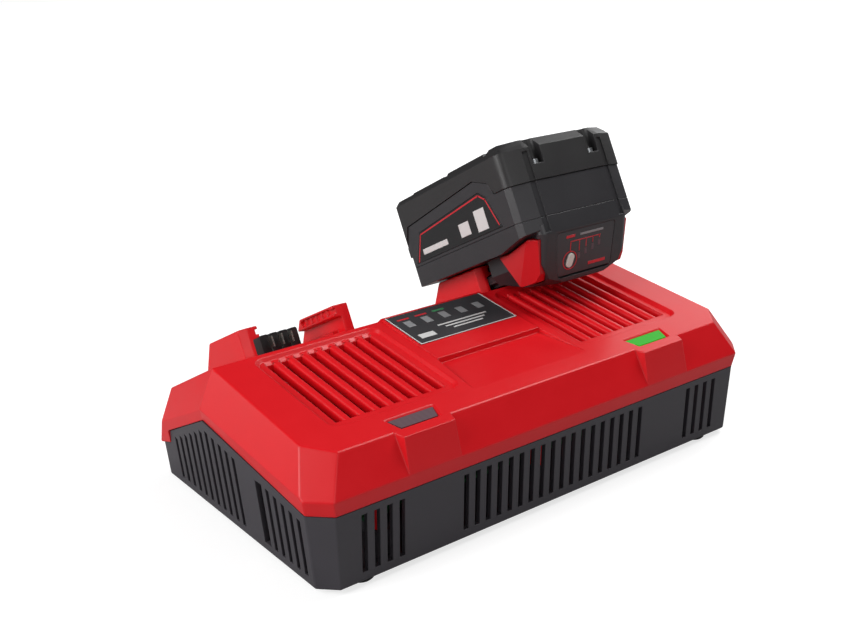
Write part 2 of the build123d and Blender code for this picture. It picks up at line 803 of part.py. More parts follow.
def contact_blades(x):
    """Spring-metal blades that stand in the gaps of a terminal block."""
    with BuildPart() as blades:
        with BuildSketch(dock_plane(x).offset(dock_floor_n - 10.0)):
            with Locations((0, (block_low_s + block_high_s) / 2)):
                with GridLocations(lobe_width + lobe_gap, 1, block_lobes - 1, 1):
                    Rectangle(blade_thick, blade_length)
        extrude(amount=block_top_n - dock_floor_n + 9.2)
        with BuildSketch(dock_plane(x).offset(block_top_n - 6.9)):
            with Locations((0, block_high_s - 2)):
                with GridLocations(lobe_width + lobe_gap, 1, block_lobes - 1, 1):
                    Rectangle(blade_thick, blade_length)
        extrude(amount=5.4)
    return blades.part


for name, x in (("left", -bay_x), ("right", bay_x)):
    lens = led_lens(x)
    lens.label = "led_lens_" + name
    export_step(lens, "parts/led_lens_" + name + ".step")
    board = led_board(x)
    board.label = "led_board_" + name
    export_step(board, "parts/led_board_" + name + ".step")
    block = terminal_block(x)
    block.label = "terminal_block_" + name
    export_step(block, "parts/terminal_block_" + name + ".step")
    blades = contact_blades(x)
    blades.label = "contact_blades_" + name
    export_step(blades, "parts/contact_blades_" + name + ".step")

# ---- Electronics in the housing ----
board_top = board_z + 1.6

with BuildPart(floor) as main_board:
    with Locations((0, -2, board_z)):
        Box(176, 92, board_top - board_z, align=(Align.CENTER, Align.CENTER, Align.MIN))
    with Locations(*[(x, y, board_z) for x, y in board_screw_places]):
        Cylinder(1.7, 4, mode=Mode.SUBTRACT)
main_board.part.label = "main_board"
export_step(main_board.part, "parts/main_board.step")

with BuildPart(floor) as board_screws:
    with Locations(*[(x, y, board_top) for x, y in board_screw_places]):
        Cylinder(3.0, 2.2, align=(Align.CENTER, Align.CENTER, Align.MIN))
    with Locations(*[(x, y, board_top + 0.5) for x, y in board_screw_places]):
        Cylinder(1.2, 8, align=(Align.CENTER, Align.CENTER, Align.MAX))
board_screws.part.label = "board_screws"
export_step(board_screws.part, "parts/board_screws.step")

core_x = -14
with BuildPart(floor) as transformer_core:
    with Locations((core_x, 4, board_top)):
        Box(42, 18, 36, align=(Align.CENTER, Align.CENTER, Align.MIN))
    for hand in (-1, 1):
        with Locations((core_x + hand * 12.25, 4, board_top + 6)):
            Box(9.5, 20, 24, align=(Align.CENTER, Align.CENTER, Align.MIN), mode=Mode.SUBTRACT)
transformer_core.part.label = "transformer_core"
export_step(transformer_core.part, "parts/transformer_core.step")

with BuildPart(floor) as transformer_winding:
    with Locations((core_x, 4, board_top + 7)):
        Box(31, 34, 22, align=(Align.CENTER, Align.CENTER, Align.MIN))
    fillet(transformer_winding.edges().filter_by(Axis.Z), 5.0)
    with Locations((core_x, 4, board_top + 5)):
        Box(15.2, 18.2, 28, align=(Align.CENTER, Align.CENTER, Align.MIN), mode=Mode.SUBTRACT)
transformer_winding.part.label = "transformer_winding"
export_step(transformer_winding.part, "parts/transformer_winding.step")

with BuildPart(floor) as heat_sinks:
    for x in (24, 66):
        with Locations((x, 6, board_top)):
            Box(5, 70, 33, align=(Align.CENTER, Align.CENTER, Align.MIN))
        for i in range(7):
            with Locations((x + 2.5, 6 - 33 + i * 11, board_top)):
                Box(10, 2, 33, align=(Align.MIN, Align.CENTER, Align.MIN))
heat_sinks.part.label = "heat_sinks"
export_step(heat_sinks.part, "parts/heat_sinks.step")

with BuildPart(floor) as power_transistors:
    for x in (24, 66):
        for y in (-22, -2, 18):
            with Locations((x - 2.5, y, board_top + 8)):
                Box(4.6, 10, 15, align=(Align.MAX, Align.CENTER, Align.MIN))
            with Locations((x - 4.4, y, board_top)):
                with GridLocations(1, 2.5, 1, 3):
                    Box(0.6, 0.9, 8.2, align=(Align.CENTER, Align.CENTER, Align.MIN))
power_transistors.part.label = "power_transistors"
export_step(power_transistors.part, "parts/power_transistors.step")

with BuildPart(floor) as bulk_capacitors:
    with Locations(*[(x, y, board_top) for x, y in ((-62, -28), (-40, -28), (-62, -4))]):
        Cylinder(9.0, 32, align=(Align.CENTER, Align.CENTER, Align.MIN))
    fillet(bulk_capacitors.edges().group_by(Axis.Z)[-1], 1.2)
bulk_capacitors.part.label = "bulk_capacitors"
export_step(bulk_capacitors.part, "parts/bulk_capacitors.step")

with BuildPart(floor) as line_choke:
    with Locations((-62, 24, board_top + 16)):
        Torus(10.5, 5.0, rotation=(0, 90, 0))
line_choke.part.label = "line_choke"
export_step(line_choke.part, "parts/line_choke.step")

with BuildPart(floor) as relays:
    for y in (-36, 36):
        with Locations((46, y, board_top)):
            Box(19, 12, 15, align=(Align.CENTER, Align.CENTER, Align.MIN))
relays.part.label = "relays"
export_step(relays.part, "parts/relays.step")

with BuildPart(floor) as fuse:
    with Locations((-36, 34, board_top + 5.0)):
        Cylinder(2.6, 20, rotation=(0, 90, 0))
    for x in (-45, -27):
        with Locations((x, 34, board_top)):
            Box(3, 4, 4.5, align=(Align.CENTER, Align.CENTER, Align.MIN))
fuse.part.label = "fuse"
export_step(fuse.part, "parts/fuse.step")

with BuildPart() as mains_inlet:
    with BuildSketch(front.offset(-76.6)):
        with Locations((inlet_x, inlet_z)):
            Rectangle(inlet_width + 5, inlet_height + 4)
            chamfer(vertices(), 1.5)
    extrude(amount=-1.2)
    with BuildSketch(front.offset(-77.0)):
        with Locations((inlet_x, inlet_z)):
            Rectangle(inlet_width, inlet_height)
    extrude(amount=20.2)
    with BuildSketch(front.offset(-77.8)):
        with Locations((inlet_x, inlet_z)):
            SlotOverall(17.0, 9.0)
    extrude(amount=14, mode=Mode.SUBTRACT)
    with BuildSketch(front.offset(-74.0)):
        with Locations((inlet_x - 4.2, inlet_z), (inlet_x + 4.2, inlet_z)):
            Circle(1.2)
    extrude(amount=12)
mains_inlet.part.label = "mains_inlet"
export_step(mains_inlet.part, "parts/mains_inlet.step")

# ---- Cooling fan behind the left end vents ----
fan_plane = Plane(
    origin=(fan_x - fan_depth / 2, housing_y + fan_y, fan_z), x_dir=(0, 1, 0), z_dir=(1, 0, 0)
)


def blade_plane(turn):
    """Plane across one fan blade at the hub, with the blade's chord along local x."""
    radial = Vector(0, cos(turn), sin(turn))
    around = Vector(0, -sin(turn), cos(turn))
    return Plane(
        origin=fan_plane.offset(8.0).origin + radial * (hub_radius - 1.2),
        x_dir=Vector(1, 0, 0) * cos(blade_pitch) + around * sin(blade_pitch),
        z_dir=radial,
    )


with BuildPart() as fan_frame:
    with BuildSketch(fan_plane):
        RectangleRounded(fan_size, fan_size, 3.0)
        Circle(fan_radius + 0.8, mode=Mode.SUBTRACT)
        with GridLocations(fan_size - 8, fan_size - 8, 2, 2):
            Circle(2.1, mode=Mode.SUBTRACT)
    extrude(amount=fan_depth)
    with BuildSketch(fan_plane):
        Circle(hub_radius)
        with PolarLocations(0, 3, start_angle=90):
            with Locations((fan_radius / 2 + 5, 0)):
                Rectangle(fan_radius - 7, 3.0)
    extrude(amount=1.6)
    with BuildSketch(fan_plane):
        Circle(pin_radius)
    extrude(amount=11.0)
fan_frame.part.label = "fan_frame"
export_step(fan_frame.part, "parts/fan_frame.step")

with BuildPart() as fan_rotor:
    with BuildSketch(fan_plane.offset(2.2)):
        Circle(hub_radius - 0.4)
    extrude(amount=11.6)
    for i in range(blade_count):
        with BuildSketch(blade_plane(2 * pi * i / blade_count)):
            Rectangle(12.0, 1.2)
        extrude(amount=fan_radius - hub_radius + 0.4)
    with BuildSketch(fan_plane.offset(2.0)):
        Circle(pin_radius + running_gap)
    extrude(amount=9.4, mode=Mode.SUBTRACT)
fan_rotor.part.label = "fan_rotor"
export_step(fan_rotor.part, "parts/fan_rotor.step")

# ---- Docked battery pack ----
nose_half = 30.0
nose_wall = 2.0
nose_profile = [
    (55.0, 1.0),
    (55.0, -13.6),
    (59.0, -14.2),
    (72.0, -19.2),
    (84.0, -21.8),
    (88.4, -21.8),
    (102.0, 2.0),
    (102.0, 7.2),
    (78.0, 1.0),
]
nose_hollow = [
    (57.2, 3.0),
    (57.2, -11.6),
    (60.0, -12.2),
    (72.8, -17.0),
    (84.4, -19.8),
    (87.3, -19.8),
    (98.2, -0.8),
    (98.2, 8.8),
]
nose_corner = [(30.0, -8.5), (24.0, -18.6), (14.0, -21.8)]   # half width and height of its lower corners
flange_taper_s = 78.0     # from here to the gauge end the flange's underside rises
flange_taper_n = 5.0
flange_raise_half = 28.4    # over the nose the flange's end is cut a little higher
flange_raise_n = 6.4
rail_rear_s = 2.5
pocket_front_s = 28.0
terminal_rear_s = 22.8
cap_overhang = 0.6
cap_chamfer = 2.6
cap_corner = 5.5
plan_round = 2.4
strip_cut = 2.35          # bevelled strips down the case's corners at the gauge end
band_half = 37.0          # raised band across the gauge end of the cap
band_rear_s = 86.0
band_front_s = 102.2
band_height = 2.2
side_plate_points = [(6.6, 12.6), (16.6, 27.6), (74.5, 33.0), (79.5, 29.4), (85.6, 12.6)]
cap_edge = [(1.0, 10), (1.0, 21.4), (1.4, 22.0), (7.7, 33.3), (73.1, 39.5), (84.1, 35.4)]
cap_edge.append((87.8, case_n + 0.2))
flank_points = [(1.6, 16.8), (1.6, 22.6), (7.9, 33.0), (73.0, 39.2), (83.8, 35.1), (87.4, case_n - 2)]
flange_rise = flange_taper_n / (pack_length - flange_taper_s)
rail_outline = [(20.2, 1.0), (20.2, -6.6), (23.9, -7.2), (23.9, -11.3), (20.7, -12.0), (20.7, -13.6)]

# release latches and gauge
latch_travel = 4.0
latch_proud = 3.6         # beyond the side of the nose
latch_points = [(69.0, -0.5), (78.0, -0.5), (94.0, 2.5), (98.6, 0.4), (90.6, -15.3), (86.4, -18.4)]
latch_points.append((78.4, -18.5))
latch_crease = [(94.0, 2.5, 0), (78.4, -18.5, 0), (98.6, 0.4, 3.0)]   # the third figure is the depth of the fold
stop_half = 4.0           # half thickness of the wall that the latch springs stand against
spring_s = 80.0
spring_n = -8.5
spring_radius = 3.0
wire_radius = 0.4
button_place = (-10.3, -3.1)
gauge_light_places = [(-4.2 + i * 4.6, -1.7 + i * 1.45) for i in range(4)]
gauge_light_size = (1.8, 3.2)
gauge_low_half = 18.5
gauge_high_half = 20.3
gauge_low_y = -10.6
gauge_high_y = 12.6
gauge_slot = (35.0, 0.9)  # under the panel

# screws at the gauge end, either side of the middle
post_x = 18.6
post_s = 99.3
block_rear_s = 95.7       # behind the screw blocks lie the cells
block_front_s = 101.8
notch_rear_s = 96.9
notch_width = 7.0
notch_floor_n = 37.0
crease_x = pack_half_width - pack_corner_x
crease_turn = 9.6         # half the turn between the end face and the corner faces


def is_front_corner(vertex):
    """Tells whether a corner of the pack's plan lies between a flank and the gauge end."""
    return abs(vertex.X) > pack_half_width - 0.1 and vertex.Y > pack_length / 2


def pack_plan(n, inset=0):
    """Plan of the pack's body at a height n, shrunk by inset."""
    half = pack_half_width
    with BuildSketch(pack.offset(n)) as plan:
        with BuildLine():
            Polyline(
                (-half, pack_rear_corner),
                (-half + pack_rear_corner, 0),
                (half - pack_rear_corner, 0),
                (half, pack_rear_corner),
                (half, pack_length - pack_corner_s),
                (half - pack_corner_x, pack_length),
                (-half + pack_corner_x, pack_length),
                (-half, pack_length - pack_corner_s),
                close=True,
            )
        make_face()
        if inset:
            offset(amount=-inset, kind=Kind.INTERSECTION)
        if inset <= 0:
            fillet([v for v in plan.vertices() if not is_front_corner(v)], plan_round)
            front_corners = [v for v in plan.vertices() if is_front_corner(v)]
            if inset < 0:
                fillet(front_corners, cap_corner)
            else:
                chamfer(front_corners, strip_cut)
    return plan.sketch


def pack_column(low_n, high_n, inset=0):
    """Straight body with the pack's plan between two heights."""
    with BuildPart() as column:
        extrude(pack_plan(low_n, inset), amount=high_n - low_n, dir=pack.z_dir)
    return column.part


def along_pack(points, half_width):
    """Solid with an outline drawn along the pack, standing out equally to both sides of its middle."""
    return prism(pack_side, points, half_width, both=True)


def above_taper(lift):
    """Space above the flange's underside, which rises towards the gauge end."""
    far_s = pack_length + 8
    far_n = lift + flange_rise * (far_s - flange_taper_s)
    return along_pack(
        [(-20, lift), (flange_taper_s - 0.4 * lift, lift), (far_s, far_n), (far_s, 80), (-20, 80)], 60
    )


def beside(hand, distance):
    """Plane along the pack, at a distance from its middle towards the left (-1) or right (1)."""
    return Plane(
        origin=pack_side.origin + Vector(hand * distance, 0, 0), x_dir=pack_side.x_dir, z_dir=(-1, 0, 0)
    )


def block_pocket():
    """Space in the rail for the charger's terminal block, open to the rear and below."""
    with BuildPart() as pocket:
        with BuildSketch(pack.offset(-20)):
            with Locations((0, (pocket_front_s + rail_rear_s - 5) / 2)):
                Rectangle(block_width + 1.4, pocket_front_s - rail_rear_s + 5)
        extrude(amount=20 + block_top_n + 0.7)
    return pocket.part


def nose_corners(body, inset):
    """The body with its lower corners taken off by two facets on each side."""
    with BuildPart() as cut:
        add(body)
        for hand in (-1, 1):
            for (high_u, high_n), (low_u, low_n) in zip(nose_corner, nose_corner[1:]):
                high = dock_section(bay_x, 0).from_local_coords((hand * high_u, high_n, 0))
                across = Vector(hand * (high_n - low_n), 0, 0) - pack.z_dir * (high_u - low_u)
                split(bisect_by=Plane(origin=high, z_dir=across).offset(-inset), keep=Keep.BOTTOM)
    return cut.part


def nose():
    """Nose of the pack, with its front edges rounded."""
    with BuildPart() as body:
        add(along_pack(nose_profile, nose_half))
        upright = [
            e for e in body.edges()
            if pack.to_local_coords(e.center()).Y > 92
            and pack.to_local_coords(e.center()).Z < 5
            and abs(pack.to_local_coords(e.center()).X) > nose_half - 0.1
        ]
        fillet(upright, 4.5)
    return nose_corners(body.part, 0)


def flange_space():
    """Inside of the flange, open towards the case."""
    with BuildPart() as space:
        add(pack_column(pack_wall, flange_n + 1, pack_wall))
        add(above_taper(pack_wall), mode=Mode.INTERSECT)
    return space.part


def latch_prism(hand, inner, outer, grow=0):
    """Column with a latch's outline between two distances from the pack's middle."""
    with BuildPart() as column:
        with BuildSketch(beside(hand, inner)):
            with BuildLine():
                Polyline(*latch_points, close=True)
            make_face()
            if grow:
                offset(amount=grow, kind=Kind.INTERSECTION)
        extrude(amount=-hand * (outer - inner))
    return column.part


def gauge_outline(lift, inset=0):
    """Outline of the gauge panel, wider at its top, at a height over the slanted face."""
    with BuildSketch(gauge_face(lift)) as outline:
        with BuildLine():
            Polyline(
                (-gauge_low_half, gauge_low_y),
                (gauge_low_half, gauge_low_y),
                (gauge_high_half, gauge_high_y),
                (-gauge_high_half, gauge_high_y),
                close=True,
            )
        make_face()
        if inset:
            offset(amount=-inset, kind=Kind.INTERSECTION)
        fillet(outline.vertices(), 1.8)
    return outline.sketch


def gauge_holes(low, height):
    """Columns through the panel's holes for the button and the lights."""
    with BuildPart() as holes:
        with BuildSketch(gauge_face(low)):
            with Locations(button_place):
                SlotOverall(8.0, 4.6, rotation=70)
            with Locations(*gauge_light_places):
                Rectangle(*gauge_light_size)
        extrude(amount=height)
    return holes.part


def gauge_face(lift):
    """Plane of the nose's slanted front, raised by lift: local x to the right, y up."""
    low, high = nose_profile[5], nose_profile[6]
    run = Vector(high[0] - low[0], high[1] - low[1], 0).normalized()
    up = pack_side.from_local_coords(run) - pack_side.origin
    middle = pack_side.from_local_coords(((low[0] + high[0]) / 2, (low[1] + high[1]) / 2, 0))
    plane = Plane(origin=middle, x_dir=(1, 0, 0), z_dir=Vector(1, 0, 0).cross(up))
    return plane.offset(lift)


def crease_grooves(low_n, high_n, out=0):
    """Upright grooves along both creases of the gauge end, moved out by a distance."""
    with BuildPart() as grooves:
        with BuildSketch(pack.offset(low_n)):
            for hand in (-1, 1):
                with Locations((hand * crease_x, pack_length + out)):
                    Rectangle(3.4, 1.8, rotation=-hand * crease_turn)
        extrude(amount=high_n - low_n)
    return grooves.part


with BuildPart() as pack_rail_shell:
    add(pack_column(0, flange_n))
    add(above_taper(0), mode=Mode.INTERSECT)
    raise_cut = [(96, -5), (110, -5), (110, flange_raise_n), (96, flange_raise_n)]
    add(along_pack(raise_cut, flange_raise_half), mode=Mode.SUBTRACT)
    add(nose())
    # rails with their flanges, which run in the grooves of a dock
    with BuildSketch(dock_section(bay_x, rail_rear_s)):
        with BuildLine():
            Polyline(*rail_outline, *[(-u, n) for u, n in reversed(rail_outline)], close=True)
        make_face()
    extrude(amount=56 - rail_rear_s)
    add(block_pocket(), mode=Mode.SUBTRACT)
    add(flange_space(), mode=Mode.SUBTRACT)
    add(nose_corners(along_pack(nose_hollow, nose_half - nose_wall), nose_wall), mode=Mode.SUBTRACT)
    for hand in (-1, 1):
        add(latch_prism(hand, nose_half - 11, nose_half + 8, 0.35), mode=Mode.SUBTRACT)
    add(crease_grooves(3, flange_n + 1), mode=Mode.SUBTRACT)
    # wall in the middle of the nose that the latch springs stand against
    add(along_pack([(75.5, 2.5), (84.5, 2.5), (84.5, -20.6), (75.5, -18.6)], stop_half))
    # seat of the gauge panel, with the holes for its button and lights
    extrude(gauge_outline(-0.6), amount=4, dir=gauge_face(0).z_dir, mode=Mode.SUBTRACT)
    add(gauge_holes(-5, 6), mode=Mode.SUBTRACT)
    with BuildSketch(gauge_face(-1.8)):
        with Locations((0, gauge_low_y - gauge_slot[1] / 2)):
            Rectangle(*gauge_slot)
    extrude(amount=4, mode=Mode.SUBTRACT)
pack_rail_shell.part.label = "pack_rail_shell"
export_step(pack_rail_shell.part, "parts/pack_rail_shell.step")


def screw_block(low_n, high_n, width):
    """Pair of blocks at the gauge end that carry the pack screws."""
    with BuildPart() as blocks:
        with BuildSketch(pack.offset(low_n)):
            middle_s = (block_rear_s + block_front_s) / 2
            with Locations((-post_x, middle_s), (post_x, middle_s)):
                Rectangle(width, block_front_s - block_rear_s)
        extrude(amount=high_n - low_n)
    return blocks.part


def screw_bores(low_n, high_n, radius):
    """Pair of bores on the axes of the pack screws."""
    with BuildPart() as bores:
        with BuildSketch(pack.offset(low_n)):
            with Locations((-post_x, post_s), (post_x, post_s)):
                Circle(radius)
        extrude(amount=high_n - low_n)
    return bores.part


def flank(points, hand, low, high, grow=0):
    """Plate on the pack's flank with a given outline, between two distances from the middle."""
    with BuildPart() as plate:
        with BuildSketch(beside(hand, low)):
            with BuildLine():
                Polyline(*points, close=True)
            make_face()
            if grow:
                offset(amount=grow, kind=Kind.INTERSECTION)
        extrude(amount=-hand * (high - low))
    return plate.part


with BuildPart() as pack_case:
    add(pack_column(flange_n + 0.2, case_n))
    for hand in (-1, 1):
        add(flank(flank_points, hand, pack_half_width - 3.0, pack_half_width))
    add(pack_column(flange_n - 1, 48, pack_wall), mode=Mode.SUBTRACT)
    add(screw_block(16, case_n, 9.0))
    add(crease_grooves(flange_n - 1, case_n + 1), mode=Mode.SUBTRACT)
    # the rear is cut back for the skirt of the cap
    skirt = [(-2, 19.5), (1.2, 19.5), (1.2, 21.6), (1.7, 22.2), (8.0, 33.3), (8.0, 50), (-2, 50)]
    add(along_pack(skirt, 60), mode=Mode.SUBTRACT)
    for hand in (-1, 1):
        seat = flank(side_plate_points, hand, pack_half_width - 0.5, pack_half_width + 2, 0.2)
        add(seat, mode=Mode.SUBTRACT)
    add(screw_bores(17, 30, 1.25), mode=Mode.SUBTRACT)
pack_case.part.label = "pack_case"
export_step(pack_case.part, "parts/pack_case.step")


def cap_notches():
    """Notches in the gauge end of the cap, over the screw heads, with two dents between them."""
    with BuildPart() as cutter:
        with BuildSketch(pack.offset(notch_floor_n)):
            with Locations((-post_x, notch_rear_s + 6), (post_x, notch_rear_s + 6)):
                RectangleRounded(notch_width, 12.0, 2.6)
        extrude(amount=20)
        with BuildSketch(pack.offset(pack_top_n + band_height - 1.6)):
            with Locations((-9.6, pack_length + 0.6), (9.6, pack_length + 0.6)):
                Rectangle(6.0, 6.0)
        extrude(amount=5)
    return cutter.part


def cap_pads():
    """Raised grip pads along both upper edges, in two steps, and a band across the gauge end."""
    with BuildPart() as pads:
        for low_s, high_s, height in ((18.5, 49.5, 0.6), (51.5, 84.5, 1.5)):
            with BuildSketch(pack.offset(pack_top_n - 1)):
                with Locations((-27.5, (low_s + high_s) / 2), (27.5, (low_s + high_s) / 2)):
                    Rectangle(19.0, high_s - low_s)
            extrude(amount=height + 1, taper=12)
        with BuildSketch(pack.offset(pack_top_n - 1)):
            with Locations((0, (band_rear_s + band_front_s) / 2)):
                Rectangle(2 * band_half, band_front_s - band_rear_s)
        extrude(amount=band_height + 1, taper=30)
    return pads.part


with BuildPart() as pack_cap:
    add(pack_column(19.8, pack_top_n - cap_chamfer, -cap_overhang))
    top_plan = pack_plan(pack_top_n - cap_chamfer, -cap_overhang)
    extrude(top_plan, amount=cap_chamfer, dir=pack.z_dir, taper=45)
    add(cap_pads())
    add(pack_column(0, pack_top_n - 2.2, pack_wall), mode=Mode.SUBTRACT)
    # the lower edge runs high over the flanks of the case and low at both ends
    add(along_pack(cap_edge + [(110, case_n + 0.2), (110, 10)], 60), mode=Mode.SUBTRACT)
    add(screw_block(case_n + 0.2, pack_top_n - 1, notch_width + 3.2))
    add(crease_grooves(case_n - 1, pack_top_n - 4.5, cap_overhang), mode=Mode.SUBTRACT)
    add(cap_notches(), mode=Mode.SUBTRACT)
    add(screw_bores(case_n, notch_floor_n + 1, 1.5), mode=Mode.SUBTRACT)
pack_cap.part.label = "pack_cap"
export_step(pack_cap.part, "parts/pack_cap.step")

with BuildPart() as pack_screws:
    add(screw_bores(notch_floor_n, notch_floor_n + 2.4, 2.3))
    add(screw_bores(notch_floor_n + 1.2, notch_floor_n + 3, 1.2), mode=Mode.SUBTRACT)
    add(screw_bores(20, notch_floor_n + 0.1, 1.2))
pack_screws.part.label = "pack_screws"
export_step(pack_screws.part, "parts/pack_screws.step")

for name, hand in (("left", -1), ("right", 1)):
    plate = flank(side_plate_points, hand, pack_half_width - 0.5, pack_half_width + 0.05)
    plate.label = "side_plate_" + name
    export_step(plate, "parts/side_plate_" + name + ".step")

# ---- Gauge on the nose ----
with BuildPart() as gauge_panel:
    extrude(gauge_outline(-0.6, 0.2), amount=0.5, dir=gauge_face(0).z_dir)
    add(gauge_holes(-2, 4), mode=Mode.SUBTRACT)
gauge_panel.part.label = "gauge_panel"
export_step(gauge_panel.part, "parts/gauge_panel.step")

with BuildPart() as gauge_button:
    with BuildSketch(gauge_face(-3.6)):
        with Locations(button_place):
            SlotOverall(7.4, 4.0, rotation=70)
    extrude(amount=4.2)
    fillet([e for e in gauge_button.edges() if gauge_face(0).to_local_coords(e.center()).Z > 0.55], 0.3)
gauge_button.part.label = "gauge_button"
export_step(gauge_button.part, "parts/gauge_button.step")

with BuildPart() as gauge_lights:
    with BuildSketch(gauge_face(-5.2)):
        with Locations(*gauge_light_places):
            Rectangle(gauge_light_size[0] - 0.1, gauge_light_size[1] - 0.1)
    extrude(amount=5.15)
gauge_lights.part.label = "gauge_lights"
export_step(gauge_lights.part, "parts/gauge_lights.step")

with BuildPart() as gauge_board:
    with BuildSketch(gauge_face(-6.4)):
        with Locations((0, 0.8)):
            Rectangle(30, 12)
    extrude(amount=1.2)
gauge_board.part.label = "gauge_board"
export_step(gauge_board.part, "parts/gauge_board.step")

# ---- Release latches ----


def release_latch(hand):
    """Squeeze button with a guide pin for its spring and a tab that keeps it in the nose."""
    with BuildPart() as latch:
        add(latch_prism(hand, nose_half - 6, nose_half + latch_proud - 0.9))
        with BuildSketch(beside(hand, nose_half + latch_proud - 0.9)):
            with BuildLine():
                Polyline(*latch_points, close=True)
            make_face()
        extrude(amount=-hand * 0.9, taper=35)
        top, low, edge = [
            pack_side.from_local_coords((s, n, -hand * (nose_half + latch_proud - depth)))
            for s, n, depth in latch_crease
        ]
        outward = (low - top).cross(edge - top)
        outward = outward * (hand if outward.X > 0 else -hand)
        split(bisect_by=Plane(origin=top, z_dir=outward), keep=Keep.BOTTOM)
        with BuildSketch(beside(hand, nose_half - 3.6)):
            with Locations((77, 0.2)):
                Rectangle(8, 3.2)
        extrude(amount=-hand * 1.2)
        with BuildSketch(beside(hand, nose_half - 5.9)):
            with Locations((spring_s, spring_n)):
                Circle(2.0)
        extrude(amount=hand * (nose_half - 5.9 - stop_half - latch_travel - 2))
    return latch.part


def latch_spring(hand):
    """Compression spring between a latch and the middle wall of the nose."""
    length = nose_half - 6.6 - stop_half - 2 * wire_radius
    start = beside(hand, stop_half + wire_radius + 0.1).from_local_coords((spring_s, spring_n, 0))
    with BuildPart() as spring:
        with BuildLine() as coil:
            Helix(pitch=length / 6, height=length, radius=spring_radius, center=start, direction=(hand, 0, 0))
        with BuildSketch(coil.line ^ 0):
            Circle(wire_radius)
        sweep(path=coil.line)
    return spring.part


for name, hand in (("left", -1), ("right", 1)):
    latch = release_latch(hand)
    latch.label = "latch_" + name
    export_step(latch, "parts/latch_" + name + ".step")
    spring = latch_spring(hand)
    spring.label = "latch_spring_" + name
    export_step(spring, "parts/latch_spring_" + name + ".step")

# ---- Inside the pack ----
cell_row_s = [11.35 + i * cell_pitch for i in range(5)]
cell_places = [(s, n) for n in (16.5, 35.2) for s in cell_row_s]

with BuildPart() as cells:
    with BuildSketch(beside(-1, cell_length / 2)):
        with Locations(*cell_places):
            Circle(cell_radius)
    extrude(amount=-cell_length)
cells.part.label = "cells"
export_step(cells.part, "parts/cells.step")

with BuildPart() as cell_holders:
    for hand in (-1, 1):
        with BuildSketch(beside(hand, cell_length / 2 - 8)):
            with Locations((cell_row_s[2], 25.85)):
                Rectangle(4 * cell_pitch + 18.4, cell_pitch + 18.6)
            with Locations(*cell_places):
                Circle(cell_radius + 0.02, mode=Mode.SUBTRACT)
        extrude(amount=-hand * 7.9)
cell_holders.part.label = "cell_holders"
export_step(cell_holders.part, "parts/cell_holders.step")

with BuildPart() as cell_strips:
    for hand in (-1, 1):
        with BuildSketch(beside(hand, cell_length / 2)):
            with Locations(*[(s, 25.85) for s in cell_row_s]):
                Rectangle(8.0, 27.0)
        extrude(amount=-hand * 0.2)
cell_strips.part.label = "cell_strips"
export_step(cell_strips.part, "parts/cell_strips.step")

with BuildPart() as pack_board:
    with BuildSketch(pack.offset(3.4)):
        with Locations((0, 38)):
            Rectangle(58, 62)
    extrude(amount=1.6)
pack_board.part.label = "pack_board"
export_step(pack_board.part, "parts/pack_board.step")

with BuildPart() as pack_terminals:
    with BuildSketch(dock_section(bay_x, terminal_rear_s)):
        with GridLocations(lobe_width + lobe_gap, 1, block_lobes - 1, 1):
            with Locations((-0.95, -9.2), (0.95, -9.2)):
                Rectangle(0.5, 5.6)
    extrude(amount=pocket_front_s - terminal_rear_s)
pack_terminals.part.label = "pack_terminals"
export_step(pack_terminals.part, "parts/pack_terminals.step")
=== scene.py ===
# %% [markdown]
# # A two-bay charger for slide-on battery packs
#
# The charger is a dark tray with a red lid. The lid carries two vented bays, an information plate
# between them and two docks at the back. One battery pack sits in the right dock, upside down.
# Its solid pieces come from the imported frame. This lesson gives each of them the finish of the real
# material, trims the pack's cap, puts copies in place of the two latch springs, adds the printed marks
# that are too fine for solid modelling, and sets up a plain studio.

# %% Load the frame
import math

import bmesh
import bpy
from mathutils import Matrix, Vector


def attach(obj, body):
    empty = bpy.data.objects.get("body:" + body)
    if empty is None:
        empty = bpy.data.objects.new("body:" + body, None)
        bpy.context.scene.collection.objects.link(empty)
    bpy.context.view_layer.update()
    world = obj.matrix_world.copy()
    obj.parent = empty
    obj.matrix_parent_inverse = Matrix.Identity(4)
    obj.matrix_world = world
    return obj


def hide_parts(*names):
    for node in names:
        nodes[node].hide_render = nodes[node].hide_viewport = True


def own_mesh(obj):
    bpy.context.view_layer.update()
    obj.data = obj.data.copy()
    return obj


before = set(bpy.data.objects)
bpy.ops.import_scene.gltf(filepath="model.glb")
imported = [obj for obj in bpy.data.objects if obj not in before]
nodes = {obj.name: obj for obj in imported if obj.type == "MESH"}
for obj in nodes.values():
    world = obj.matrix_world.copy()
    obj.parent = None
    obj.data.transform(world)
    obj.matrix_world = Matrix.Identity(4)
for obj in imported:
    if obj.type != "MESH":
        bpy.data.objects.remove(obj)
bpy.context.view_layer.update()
MM = 0.001

# %% [markdown]
# ## Where things lie
#
# Nearly every face of this object is tilted, so details are drawn flat, in millimetres, on a small
# local plane, and the plane puts them in space. A plane here is a 4 by 4 matrix: its first two
# columns are the directions across and up the face, the third is the way out of it.

# %% Planes of the tilted faces
HOUSING_Y = -7.05      # middle of the housing
RIDGE_Y = 16.5         # the roof ridge, behind the middle
RIDGE_Z = 72.7
DECK_FRONT_Y = -68.6
DECK_FRONT_Z = 60.7
BAY_X = 70.0
DOCK_SLOPE = math.radians(26.3)
PACK_ORIGIN = (BAY_X, HOUSING_Y + 69.8, 62.6)  # where both distances of pack_point start


def plane(origin, across, up):
    """Matrix of a flat face: local x across it, y up it, z out of it, all in metres."""
    x_dir = Vector(across).normalized()
    y_dir = Vector(up).normalized()
    z_dir = x_dir.cross(y_dir)
    placed = Matrix((x_dir, y_dir, z_dir)).transposed().to_4x4()
    placed.translation = Vector(origin) * MM
    return placed


